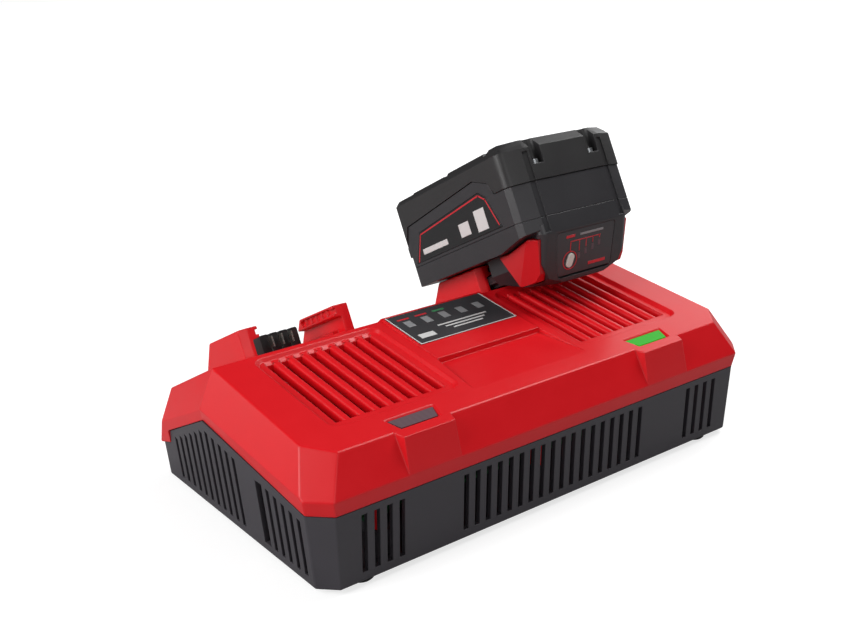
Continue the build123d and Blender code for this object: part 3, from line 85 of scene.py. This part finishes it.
WEDGE_FRONT_Y = -58.0  # where the low wedge of the middle begins
WEDGE_RISE = 1.2
deck_rise = (RIDGE_Z - DECK_FRONT_Z) / (RIDGE_Y - DECK_FRONT_Y)
wedge_front_z = RIDGE_Z + (WEDGE_FRONT_Y - RIDGE_Y) * deck_rise
plateau_up = Vector((0, RIDGE_Y - WEDGE_FRONT_Y, RIDGE_Z + WEDGE_RISE - wedge_front_z))
plateau = plane((0, HOUSING_Y + RIDGE_Y, RIDGE_Z + WEDGE_RISE), (1, 0, 0), plateau_up)

rail_dir = Vector((0, -math.cos(DOCK_SLOPE), math.sin(DOCK_SLOPE)))
away_dir = Vector((0, math.sin(DOCK_SLOPE), math.cos(DOCK_SLOPE)))


def pack_point(along, away, x=BAY_X):
    """Point of the docked pack in mm: along the rails from its rear end, and away from the roof."""
    return Vector((x, PACK_ORIGIN[1], PACK_ORIGIN[2])) + rail_dir * along + away_dir * away


GAUGE_LOW = (88.4, -21.8)  # lower and upper edge of the nose's slanted face, along and away
GAUGE_HIGH = (102.0, 2.0)
gauge_low = pack_point(*GAUGE_LOW)
gauge_high = pack_point(*GAUGE_HIGH)
gauge = plane((gauge_low + gauge_high) / 2, (1, 0, 0), gauge_high - gauge_low)
print("the plateau rises", round(math.degrees(math.atan2(plateau_up.z, plateau_up.y)), 1), "degrees")

# %% [markdown]
# ## Colours and shader nodes
#
# Colours are written as the sRGB hex values a person reads off a screen, and shaders work in linear
# light, so one function converts them. A second function adds any shader node with its settings
# and its links, which keeps every material below short.

# %% Colour and node helpers


def linear(hex_code):
    """Linear RGBA of an sRGB hex colour."""
    channels = [int(hex_code[i:i + 2], 16) / 255 for i in (0, 2, 4)]
    return [c / 12.92 if c <= 0.04045 else ((c + 0.055) / 1.055) ** 2.4 for c in channels] + [1.0]


def add_node(tree, kind, sockets=None, **settings):
    """Adds one shader node; a socket's value is a number, a colour or another node's output."""
    made = tree.nodes.new(kind)
    for name, value in settings.items():
        setattr(made, name, value)
    for name, value in (sockets or {}).items():
        if isinstance(value, bpy.types.NodeSocket):
            tree.links.new(value, made.inputs[name])
        else:
            made.inputs[name].default_value = value
    return made


def new_material(name):
    """Empty material; returns it with its node tree, its surface shader and its object coordinates."""
    made = bpy.data.materials.new(name)
    made.use_nodes = True
    tree = made.node_tree
    tree.nodes.clear()
    shader = add_node(tree, "ShaderNodeBsdfPrincipled")
    add_node(tree, "ShaderNodeOutputMaterial", {"Surface": shader.outputs["BSDF"]})
    place = add_node(tree, "ShaderNodeTexCoord").outputs["Object"]
    return made, tree, shader, place


def per_metre(size_mm):
    """Scale of a pattern whose features are that many millimetres apart."""
    return 1 / (size_mm * MM)


# %% [markdown]
# ## Moulded plastic
#
# Almost everything here is injection moulded. Such a part copies its steel mould, which is spark
# eroded to a fine, dull texture: the eye sees a soft highlight that breaks up into tiny sparkles.
# Corners of the mould are never quite sharp, so every edge catches a thin line of light. The
# shader has the same three ingredients: a colour with a faint mottling, a roughness that wanders a
# little, and a bump of the mould's grain laid over rounded edges. A grain of the real fineness
# wouldn't show from a distance, so it is drawn coarser. The same function serves for printed ink,
# film and smooth wraps, with a shallower grain.

# %% A function for moulded plastics
CLOUD_MM = 14          # the colour and the gloss wander over patches of this size


def moulded(name, colour, shade, roughness, grain_mm, depth_mm, edge_mm=0.35, ior=1.5):
    """Moulded plastic: colour and its darker shade in hex, and the mould's grain in millimetres."""
    made, tree, shader, place = new_material(name)
    cloud = add_node(
        tree,
        "ShaderNodeTexNoise",
        {"Vector": place, "Scale": per_metre(CLOUD_MM), "Detail": 3.0},
    )
    tint = add_node(tree, "ShaderNodeMix", {"Factor": cloud.outputs["Fac"]}, data_type="RGBA")
    # a mix node has several sockets of the same name, so its two colours are reached by their place
    tint.inputs[6].default_value = linear(shade)
    tint.inputs[7].default_value = linear(colour)
    tree.links.new(tint.outputs[2], shader.inputs["Base Color"])
    gloss = add_node(
        tree,
        "ShaderNodeMapRange",
        {"Value": cloud.outputs["Fac"], "To Min": roughness - 0.04, "To Max": roughness + 0.05},
    )
    tree.links.new(gloss.outputs["Result"], shader.inputs["Roughness"])
    grain = add_node(
        tree,
        "ShaderNodeTexNoise",
        {"Vector": place, "Scale": per_metre(grain_mm), "Detail": 4.0, "Roughness": 0.6},
    )
    rounded = add_node(tree, "ShaderNodeBevel", {"Radius": edge_mm * MM}, samples=6)
    bump = add_node(
        tree,
        "ShaderNodeBump",
        {
            "Strength": 0.35,
            "Distance": depth_mm * MM,
            "Height": grain.outputs["Fac"],
            "Normal": rounded.outputs["Normal"],
        },
    )
    tree.links.new(bump.outputs["Normal"], shader.inputs["Normal"])
    shader.inputs["IOR"].default_value = ior
    return made


red_abs = moulded("red_abs_spark_eroded", "DC101B", "D40E18", 0.35, 0.55, 0.03, edge_mm=0.9, ior=1.45)
dark_abs = moulded("dark_grey_abs_spark_eroded", "3D3A40", "39363B", 0.44, 0.50, 0.05)
pack_nylon = moulded("black_nylon_glass_filled", "313033", "2C2B2E", 0.38, 0.45, 0.03)
pack_overmould = moulded("black_elastomer_overmoulded", "2A292A", "262526", 0.40, 0.40, 0.04)
black_abs = moulded("black_abs_moulded", "141416", "111113", 0.38, 0.50, 0.03)
latch_abs = moulded("red_abs_satin_moulded", "C4101A", "BC0E18", 0.36, 0.45, 0.02)
rubber = moulded("black_rubber_moulded", "1B1B1C", "171718", 0.62, 0.40, 0.05, ior=1.52)
print("moulded materials:", len(bpy.data.materials))

# %% [markdown]
# ## Metals, boards and wraps inside
#
# The inner pieces show only through the vents, but they are seen when the charger is opened up, so
# they get a true material as well. Metals are told apart by colour and by how they were worked:
# a zinc-plated screw is evenly satin, a rolled strip has fine lines, and an extrusion is duller.

# %% Metals


def worked_metal(name, colour, roughness, line_mm, stretch):
    """Metal with a fine pattern; where its scale along x, y or z is below 1, it is drawn out to lines."""
    made, tree, shader, place = new_material(name)
    mapping = add_node(tree, "ShaderNodeMapping", {"Vector": place, "Scale": stretch})
    lines = add_node(
        tree,
        "ShaderNodeTexNoise",
        {"Vector": mapping.outputs["Vector"], "Scale": per_metre(line_mm), "Detail": 2.0},
    )
    gloss = add_node(
        tree,
        "ShaderNodeMapRange",
        {"Value": lines.outputs["Fac"], "To Min": roughness - 0.08, "To Max": roughness + 0.08},
    )
    tree.links.new(gloss.outputs["Result"], shader.inputs["Roughness"])
    bump = add_node(
        tree, "ShaderNodeBump", {"Strength": 0.2, "Distance": 0.02 * MM, "Height": lines.outputs["Fac"]}
    )
    tree.links.new(bump.outputs["Normal"], shader.inputs["Normal"])
    shader.inputs["Base Color"].default_value = linear(colour)
    shader.inputs["Metallic"].default_value = 1.0
    return made


zinc = worked_metal("steel_zinc_plated", "B4B7BA", 0.32, 0.6, (1, 1, 1))
tinned = worked_metal("bronze_tin_plated", "D2D0C8", 0.28, 0.5, (1, 1, 0.2))
nickel = worked_metal("nickel_rolled_strip", "C3C0B6", 0.30, 0.4, (1, 1, 0.1))
spring = worked_metal("steel_spring_drawn", "9EA0A3", 0.30, 0.3, (0.2, 1, 1))
aluminium = worked_metal("aluminium_extruded", "B9BCBF", 0.42, 0.6, (1, 0.1, 1))
copper = worked_metal("copper_wire_enamelled", "B4622E", 0.30, 0.9, (0.2, 1, 1))
metals = [zinc, tinned, nickel, spring, aluminium, copper]
print("metals:", len(metals))

# %% [markdown]
# The other inner pieces are not metal. A circuit board is woven glass in epoxy under a green mask,
# the transformer core is ground ferrite, dull and dark, its winding is wrapped in glossy tape, and
# capacitors and cells wear a shrunk plastic sleeve. The fuse is a tube of clear drawn glass.

# %% Boards, wraps, ferrite and glass
board_green = moulded("glass_epoxy_solder_mask", "1C5A36", "185030", 0.35, 1.2, 0.02)
ferrite = moulded("ferrite_sintered_ground", "38383B", "303033", 0.55, 0.8, 0.04, ior=2.1)
tape = moulded("polyester_tape_wound", "D8A91E", "CFA01A", 0.28, 1.5, 0.02, ior=1.6)
sleeve = moulded("pvc_sleeve_shrunk", "1E2238", "1A1E32", 0.25, 2.0, 0.01)
relay_pbt = moulded("blue_pbt_moulded", "1B3F7A", "18396E", 0.38, 0.6, 0.02)
cell_pvc = moulded("teal_pvc_wrap_shrunk", "2C8F8A", "27837E", 0.24, 2.0, 0.01)
white_abs = moulded("white_abs_moulded", "D9D9D2", "D0D0C8", 0.45, 0.6, 0.02)
fuse_glass, _, fuse_shader, _ = new_material("soda_glass_drawn_tube")
fuse_shader.inputs["Base Color"].default_value = linear("D8E4E0")
fuse_shader.inputs["Roughness"].default_value = 0.05
fuse_shader.inputs["IOR"].default_value = 1.52
fuse_shader.inputs["Transmission Weight"].default_value = 0.85
print("materials so far:", len(bpy.data.materials))

# %% [markdown]
# ## Windows and printed film
#
# Each bay has a moulded window over its lights. Hardly anything can be made out behind such a window,
# so its shader is opaque. The left bay is empty: its lights are off and the window looks grey. That grey
# is partly painted light: the smoked tint is the window's own, while the lit red inside seen through it
# and its highlight are painted into the colour as a reddish, lighter grey. The right bay is lit, but
# nothing modelled behind it shines, so its material gives off an even green light of its own. The inks
# and films below are the moulded finish again, with a very shallow grain.

# %% Window materials


def window_material(name, colour, glow, strength):
    """Window plastic with faint wedges across it; strength is that of the light it gives off."""
    made, tree, shader, place = new_material(name)
    wedges = add_node(
        tree,
        "ShaderNodeTexWave",
        {"Vector": place, "Scale": per_metre(9), "Distortion": 1.0},
        bands_direction="X",
    )
    shade = add_node(
        tree,
        "ShaderNodeMapRange",
        {"Value": wedges.outputs["Fac"], "To Min": 0.92, "To Max": 1.0},
    )
    tint = add_node(
        tree,
        "ShaderNodeHueSaturation",
        {"Value": shade.outputs["Result"], "Color": linear(colour)},
    )
    tree.links.new(tint.outputs["Color"], shader.inputs["Base Color"])
    shader.inputs["Roughness"].default_value = 0.34
    shader.inputs["Specular IOR Level"].default_value = 0.15
    shader.inputs["Emission Color"].default_value = linear(glow)
    shader.inputs["Emission Strength"].default_value = strength
    return made


# the smoked tint is real; the reddish, lighter grey over it is painted light, the lit red inside and a
# highlight
smoked_window_painted_light = window_material("smoked_polycarbonate_painted_light", "66545A", "000000", 0.0)
green_window = window_material("clear_polycarbonate_lit_green", "0A6606", "22D800", 0.44)
plate_film = moulded("dark_polyester_film_printed", "3A3A3D", "373739", 0.33, 0.9, 0.01)
gauge_film = moulded("grey_polyester_film_printed", "3A393C", "363538", 0.38, 0.9, 0.01)
white_ink = moulded("white_ink_screen_printed", "D9D9D8", "D0D0CF", 0.45, 0.7, 0.01)
grey_ink = moulded("grey_ink_screen_printed", "8F9092", "88898B", 0.45, 0.7, 0.01)
green_ink = moulded("green_ink_screen_printed", "3F8F5C", "3A8555", 0.45, 0.7, 0.01)
red_ink = moulded("red_ink_screen_printed", "CF2230", "C61E2B", 0.42, 0.7, 0.01)

# %% [markdown]
# ## A finish for every solid
#
# One table gives the material of each single piece. A second one goes by a word in the piece's name,
# and the first word that fits counts, so the screws of the circuit board share the board's green.
# What is in neither table is plain black moulded plastic.

# %% Give every solid its material
finish = {
    "lower_housing": dark_abs,
    "upper_housing": red_abs,
    "rubber_feet": rubber,
    "info_plate": plate_film,
    "led_lens_left": smoked_window_painted_light,
    "led_lens_right": green_window,
    "transformer_core": ferrite,
    "transformer_winding": tape,
    "heat_sinks": aluminium,
    "bulk_capacitors": sleeve,
    "line_choke": copper,
    "relays": relay_pbt,
    "fuse": fuse_glass,
    "pack_rail_shell": pack_nylon,
    "pack_case": pack_nylon,
    "pack_cap": pack_overmould,
    "gauge_panel": gauge_film,
    "gauge_button": white_abs,
    "gauge_lights": smoked_window_painted_light,
    "cells": cell_pvc,
    "cell_holders": white_abs,
    "cell_strips": nickel,
}
families = {
    "board": board_green,
    "screws": zinc,
    "terminal_block": black_abs,
    "contact_blades": tinned,
    "pack_terminals": tinned,
    "latch_spring": spring,
    "latch": latch_abs,
}


def finish_of(name):
    """Material of a node: its own, or that of a word in its name, or plain black plastic."""
    if name in finish:
        return finish[name]
    for part, material in families.items():
        if part in name:
            return material
    return black_abs


for name, node in nodes.items():
    node.data.materials.clear()
    node.data.materials.append(finish_of(name))
print("finished nodes:", len(nodes))

# %% [markdown]
# ## The cap's bevel
#
# A bevel of 45 degrees runs round the top of the pack's cap, and on the real cap it runs on over the
# raised band at the gauge end. The band of the solid cap is a plain block, whose outer corners stand
# out past the bevel. A copy of the cap is cut along the planes of the bevel, closed again and shown
# in place of the solid one. The cuts also take off the two small dents in the band's front edge.

# %% Cap with its band trimmed to the bevel
PACK_HALF = 38.5       # half the pack's width
PACK_LENGTH = 102.0
PACK_TOP = 48.4        # the cap's flat top, away from the roof
CAP_OVERHANG = 0.6     # the cap stands out this far round the pack
CAP_CHAMFER = 2.6
CAP_CORNER = 5.5       # radius of the cap's two corners at the gauge end
CREASE_X = 25.0        # beyond this the gauge end turns back by the next angle
CREASE_TURN = math.radians(19.2)
CORNER_TURN = (math.radians(90) + CREASE_TURN) / 2
CUT_CLEARANCE = 0.02   # keeps the cut just off the faces of the bevel itself
MERGE_MM = 0.002
SHARP_ANGLE = math.radians(25)

crease_reach = CREASE_X * math.sin(CREASE_TURN) + PACK_LENGTH * math.cos(CREASE_TURN) + CAP_OVERHANG
corner_x = PACK_HALF + CAP_OVERHANG - CAP_CORNER
corner_along = (crease_reach - CAP_CORNER - corner_x * math.sin(CREASE_TURN)) / math.cos(CREASE_TURN)
corner_reach = corner_x * math.sin(CORNER_TURN) + corner_along * math.cos(CORNER_TURN) + CAP_CORNER
bevels = [(0.0, PACK_LENGTH + CAP_OVERHANG)]
for hand in (-1, 1):
    bevels.append((hand * CREASE_TURN, crease_reach))
    bevels.append((hand * CORNER_TURN, corner_reach))
    bevels.append((hand * math.radians(90), PACK_HALF + CAP_OVERHANG))

cap_mesh = bmesh.new()
cap_mesh.from_mesh(nodes["pack_cap"].data)
bmesh.ops.remove_doubles(cap_mesh, verts=cap_mesh.verts, dist=MERGE_MM * MM)
for bevel_turn, reach in bevels:
    outward = Vector((math.sin(bevel_turn), 0, 0)) + rail_dir * math.cos(bevel_turn)
    foot = pack_point(0, PACK_TOP - CAP_CHAMFER) + outward * reach
    cut = bmesh.ops.bisect_plane(
        cap_mesh,
        geom=cap_mesh.verts[:] + cap_mesh.edges[:] + cap_mesh.faces[:],
        dist=MERGE_MM * MM,
        plane_co=(foot + (outward + away_dir) * CUT_CLEARANCE) * MM,
        plane_no=outward + away_dir,
        clear_outer=True,
    )
    rim_edges = [e for e in cut["geom_cut"] if isinstance(e, bmesh.types.BMEdge) and e.is_boundary]
    bmesh.ops.triangle_fill(cap_mesh, edges=rim_edges, use_beauty=True)
for face in cap_mesh.faces:
    face.smooth = True
for side_edge in cap_mesh.edges:
    side_edge.smooth = side_edge.is_manifold and side_edge.calc_face_angle() < SHARP_ANGLE
open_edges = sum(not e.is_manifold for e in cap_mesh.edges)
cap_data = bpy.data.meshes.new("cap_trimmed")
cap_mesh.to_mesh(cap_data)
cap_mesh.free()
cap_data.materials.append(pack_overmould)
cap = bpy.data.objects.new("cap_trimmed", cap_data)
bpy.context.scene.collection.objects.link(cap)
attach(cap, "battery_pack")
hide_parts("pack_cap")
print("faces of the trimmed cap:", len(cap_data.polygons), "open edges:", open_edges)

# %% [markdown]
# ## Copies of the springs
#
# A latch squeezes its spring as it is pressed. The frame holds the spring as a rigid coil, and a copy
# of the coil with a mesh of its own stands in for it here.

# %% Springs behind the latches
for side_name, low_end_fixed in (("left", False), ("right", True)):
    spring_name = "latch_spring_" + side_name
    coil = bpy.data.objects.new("coil_" + side_name, nodes[spring_name].data.copy())
    bpy.context.scene.collection.objects.link(coil)
    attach(coil, "battery_pack")
    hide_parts(spring_name)
    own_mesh(coil)

# %% [markdown]
# ## Printed details
#
# The plates of such a charger are screen printed. The marks here are plain bars and blocks, as thin
# raised ink: each is a flat outline, drawn in millimetres on its plane and given the thickness of
# the ink. Real geometry stays crisp at any distance and needs no picture.

# %% Functions for raised ink
INK = 0.06             # thickness of the ink


def raised(name, outlines, place, material, body, lift=0.0):
    """One mesh of flat outlines on a plane, each a closed list of points in mm, as thick as the ink."""
    mesh = bmesh.new()
    for outline in outlines:
        low = [mesh.verts.new((x * MM, y * MM, lift * MM)) for x, y in outline]
        high = [mesh.verts.new((x * MM, y * MM, (lift + INK) * MM)) for x, y in outline]
        mesh.faces.new(list(reversed(low)))
        mesh.faces.new(high)
        for i, corner in enumerate(low):
            after = (i + 1) % len(low)
            mesh.faces.new((corner, low[after], high[after], high[i]))
    bmesh.ops.recalc_face_normals(mesh, faces=mesh.faces)
    data = bpy.data.meshes.new(name)
    mesh.to_mesh(data)
    mesh.free()
    data.transform(place)
    data.materials.append(material)
    made = bpy.data.objects.new(name, data)
    bpy.context.scene.collection.objects.link(made)
    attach(made, body)


def bar(x, y, width, height):
    """Rectangle round a middle point."""
    return [
        (x - width / 2, y - height / 2),
        (x + width / 2, y - height / 2),
        (x + width / 2, y + height / 2),
        (x - width / 2, y + height / 2),
    ]


STROKE_OVERLAP = 0.2   # share of its width by which a stretch of line runs on at both ends


def stroke(points, width):
    """Quadrilaterals along a line of points, which make a printed line."""
    made = []
    for (x0, y0), (x1, y1) in zip(points, points[1:]):
        run = Vector((x1 - x0, y1 - y0)).normalized()
        side = Vector((-run.y, run.x)) * (width / 2)
        a = Vector((x0, y0)) - run * width * STROKE_OVERLAP
        b = Vector((x1, y1)) + run * width * STROKE_OVERLAP
        made.append([tuple(a - side), tuple(b - side), tuple(b + side), tuple(a + side)])
    return made


# %% [markdown]
# ## Information plate
#
# A dark film lies on the plateau between the bays. A thin pale rim runs along its left, front and
# right edges. On it stand a row of grey blocks with coloured dashes over some of them, three short
# lines and one pale badge.

# %% Marks on the information plate
PLATE_WIDTH = 58.8
PLATE_LENGTH = 29.6
PLATE_TOP = 0.1        # over the plane of the plateau
PLATE_MIDDLE_Y = 0.55  # behind the middle of the housing, like the ridge's own place
RIM_WIDTH = 0.65
LINE_X = 4.0
FIRST_LINE_DOWN = 3.4  # in front of the plate's middle
LINE_PITCH = 2.5
LINE_LENGTH = 30.0
LINE_SHORTER = 6.0     # each line is this much shorter than the one behind it
LINE_WIDTH = 1.1
FIRST_BLOCK_X = -22.0
BLOCK_PITCH = 10.6
BLOCK_UP = 4.6         # behind the plate's middle, like the dashes
DASH_UP = 10.0
DASH_LENGTH = 7.0
MIDDLE_DASH_X = -0.8

plate_y = -(RIDGE_Y - PLATE_MIDDLE_Y) / plateau_up.normalized().y
rim_x = (PLATE_WIDTH - RIM_WIDTH) / 2
rim = [
    bar(0, plate_y - (PLATE_LENGTH - RIM_WIDTH) / 2, PLATE_WIDTH, RIM_WIDTH),
    bar(-rim_x, plate_y + RIM_WIDTH / 2, RIM_WIDTH, PLATE_LENGTH - RIM_WIDTH),
    bar(rim_x, plate_y + RIM_WIDTH / 2, RIM_WIDTH, PLATE_LENGTH - RIM_WIDTH),
]
plate_lines = [
    bar(LINE_X, plate_y - FIRST_LINE_DOWN - LINE_PITCH * i, LINE_LENGTH - LINE_SHORTER * i, LINE_WIDTH)
    for i in range(3)
]
plate_blocks = [bar(FIRST_BLOCK_X + BLOCK_PITCH * i, plate_y + BLOCK_UP, 4.2, 6.0) for i in range(5)]
green_dashes = [bar(MIDDLE_DASH_X, plate_y + DASH_UP, DASH_LENGTH, 1.5)]
red_dashes = [bar(FIRST_BLOCK_X + BLOCK_PITCH * i, plate_y + DASH_UP, DASH_LENGTH, 1.3) for i in range(2)]
plate_badge = [bar(-21, plate_y - 8.4, 9.0, 4.0)]
plate_marks = [
    ("plate_rim", rim, white_ink),
    ("plate_lines", plate_lines, white_ink),
    ("plate_blocks", plate_blocks, grey_ink),
    ("plate_green_marks", green_dashes, green_ink),
    ("plate_red_marks", red_dashes, red_ink),
    ("plate_badge", plate_badge, white_ink),
]
for mark_name, outlines, ink in plate_marks:
    raised(mark_name, outlines, plateau, ink, "charger", PLATE_TOP)
print("marks on the plate:", len(plate_marks))

# %% [markdown]
# ## Side plates of the pack
#
# Both flanks of the pack have the same plate, one the mirror of the other. A thin red line follows
# the plate's two ends and its upper edge, and three pale blocks stand under it. The line's points are
# distances along the rails and away from the roof, so one list serves both flanks.

# %% Line and blocks on the side plates
PLATE_FACE_X = 38.55   # half the width over the two plates
SIDE_LINE_WIDTH = 0.8
side_line = [(8.4, 12.9), (16.9, 26.4), (74.1, 31.7), (78.6, 28.5), (83.9, 14.0)]
side_blocks = [(71, 20.0, 9.0, 11.0), (56, 19.0, 9.0, 7.0), (27, 17.0, 24, 3.0)]
for side_name, hand in (("left", -1), ("right", 1)):
    face = plane(pack_point(0, 0, BAY_X + hand * PLATE_FACE_X), rail_dir * -hand, away_dir)
    line = [(-hand * along, away) for along, away in side_line]
    raised("side_line_" + side_name, stroke(line, SIDE_LINE_WIDTH), face, red_ink, "battery_pack")
    marks = [bar(-hand * along, away, width, height) for along, away, width, height in side_blocks]
    raised("side_marks_" + side_name, marks, face, white_ink, "battery_pack")
print("points of the side line:", len(side_line))

# %% [markdown]
# ## Gauge
#
# The button that shows the charge has a red ring round it. A red rule rises from the ring and runs
# over the four lights, with a tooth down towards each of them. A pale bar and two red ones fill the
# rest of the panel.

# %% Ring, rule and bars of the gauge
BUTTON_X = -10.3
BUTTON_Y = -3.1
RING_INNER = 4.3
RING_OUTER = 4.9
RULE_START = 4.8       # from the button's middle, within the ring
RULE_Y = 6.6
RULE_END_X = 10.2
RULE_WIDTH = 0.55
FIRST_LIGHT_X = -4.2
LIGHT_PITCH = 4.6
LIGHT_RISE = 1.45      # each light sits this much higher than the one before
TOOTH_END_Y = 0.8      # just over the first light
TOOTH_WIDTH = 0.5
PANEL_TOP = -0.1       # the panel lies a little under the plane of the nose's slanted face


def ring(x, y, inner, outer, count=28):
    """Quadrilaterals round a ring."""
    turns = [2 * math.pi * i / count for i in range(count + 1)]
    made = []
    for a, b in zip(turns, turns[1:]):
        made.append([
            (x + inner * math.cos(a), y + inner * math.sin(a)),
            (x + outer * math.cos(a), y + outer * math.sin(a)),
            (x + outer * math.cos(b), y + outer * math.sin(b)),
            (x + inner * math.cos(b), y + inner * math.sin(b)),
        ])
    return made


rule_path = [(BUTTON_X, BUTTON_Y + RULE_START), (BUTTON_X, RULE_Y), (RULE_END_X, RULE_Y)]
rule = stroke(rule_path, RULE_WIDTH)
for i in range(4):
    light_x = FIRST_LIGHT_X + LIGHT_PITCH * i
    rule += stroke([(light_x, RULE_Y), (light_x, TOOTH_END_Y + LIGHT_RISE * i)], TOOTH_WIDTH)
gauge_marks = [
    ("gauge_ring", ring(BUTTON_X, BUTTON_Y, RING_INNER, RING_OUTER), red_ink),
    ("gauge_rule", rule, red_ink),
    ("gauge_red_bars", [bar(-10.5, 9.4, 6.0, 1.4), bar(8.5, -7.2, 12.0, 1.6)], red_ink),
    ("gauge_pale_bar", [bar(4.0, 9.4, 16.0, 1.2)], grey_ink),
]
for mark_name, outlines, ink in gauge_marks:
    raised(mark_name, outlines, gauge, ink, "battery_pack", PANEL_TOP)
print("marks on the gauge:", len(gauge_marks))

# %% [markdown]
# ## Studio
#
# A large soft lamp from the left is the key, a smaller one shines down from the right, and three weak
# ones fill the front and the back. The surround is white to the camera but lights the object only
# faintly. The floor glows white to the camera alone, and less so near the object, where the soft
# shadow would otherwise be lost.

# %% Floor and surround
FLOOR_HALF = 3.4       # in metres
floor_mesh = bpy.data.meshes.new("floor")
floor_corners = [(x * FLOOR_HALF, y * FLOOR_HALF, 0) for x, y in ((-1, -1), (1, -1), (1, 1), (-1, 1))]
floor_mesh.from_pydata(floor_corners, [], [(0, 1, 2, 3)])
floor = bpy.data.objects.new("floor", floor_mesh)
bpy.context.scene.collection.objects.link(floor)
floor_paint, tree, shader, place = new_material("floor_white_card")
shader.inputs["Base Color"].default_value = linear("ACACAC")
shader.inputs["Roughness"].default_value = 0.9
path = add_node(tree, "ShaderNodeLightPath")
spread = add_node(tree, "ShaderNodeVectorMath", {0: place}, operation="LENGTH")
rise = add_node(
    tree,
    "ShaderNodeMapRange",
    {"Value": spread.outputs["Value"], "From Min": 0.12, "From Max": 0.45, "To Min": 0.70, "To Max": 1.0},
)
glow = add_node(
    tree,
    "ShaderNodeMath",
    {0: rise.outputs["Result"], 1: path.outputs["Is Camera Ray"]},
    operation="MULTIPLY",
)
shader.inputs["Emission Color"].default_value = linear("FFFFFF")
tree.links.new(glow.outputs["Value"], shader.inputs["Emission Strength"])
floor_mesh.materials.append(floor_paint)

world = bpy.data.worlds.new("studio")
bpy.context.scene.world = world
world.use_nodes = True
tree = world.node_tree
tree.nodes.clear()
path = add_node(tree, "ShaderNodeLightPath")
level = add_node(
    tree,
    "ShaderNodeMapRange",
    {"Value": path.outputs["Is Camera Ray"], "To Min": 0.07, "To Max": 1.0},
)
sky = add_node(tree, "ShaderNodeBackground", {"Color": linear("FFFFFF"), "Strength": level.outputs["Result"]})
add_node(tree, "ShaderNodeOutputWorld", {"Surface": sky.outputs["Background"]})
print("floor, metres across:", 2 * FLOOR_HALF)

# %% Lamps
LAMP_TARGET = (0, 0, 0.06)


def soft_light(name, place, size, power):
    """Square softbox aimed at the object; place and size in metres, power in watts."""
    data = bpy.data.lights.new(name, "AREA")
    data.shape = "SQUARE"
    data.size = size
    data.energy = power
    lamp = bpy.data.objects.new(name, data)
    lamp.location = place
    lamp.rotation_euler = (Vector(LAMP_TARGET) - Vector(place)).to_track_quat("-Z", "Y").to_euler()
    bpy.context.scene.collection.objects.link(lamp)


soft_light("key_left", (-1.00, 0.10, 0.62), 0.8, 11.2)
soft_light("rear_left", (-0.78, 0.92, 0.34), 0.5, 1.0)
soft_light("top_right", (0.62, -0.12, 0.95), 0.55, 8.0)
soft_light("front", (-0.30, -1.12, 0.50), 0.6, 3.3)
soft_light("rear_right", (1.06, 0.44, 0.50), 0.6, 2.0)
print("lamps:", len(bpy.data.lights))

# %% [markdown]
# ## Camera
#
# The camera looks from the front left, some twenty degrees downwards, with a slight roll. Its lens
# follows from a focal length in pixels and the width of the image.

# %% Camera
CAMERA_AT = Vector((-326.6, -418.7 + HOUSING_Y, 261.8)) * MM
CAMERA_AIM = Vector((-10.3, 10.4 + HOUSING_Y, 70.3)) * MM
CAMERA_ROLL = math.radians(-1.89)
FOCAL_PX = 1156.73
IMAGE_WIDTH = 845
SENSOR = 36.0
camera_data = bpy.data.cameras.new("camera")
camera_data.sensor_width = SENSOR
camera_data.lens = FOCAL_PX * SENSOR / IMAGE_WIDTH
camera = bpy.data.objects.new("camera", camera_data)
view_dir = CAMERA_AIM - CAMERA_AT
turn = view_dir.to_track_quat("-Z", "Y").to_matrix() @ Matrix.Rotation(CAMERA_ROLL, 3, "Z")
camera.matrix_world = Matrix.Translation(CAMERA_AT) @ turn.to_4x4()
bpy.context.scene.collection.objects.link(camera)
bpy.context.scene.camera = camera
bpy.context.scene.view_settings.view_transform = "Standard"
print("lens:", round(camera_data.lens, 2))
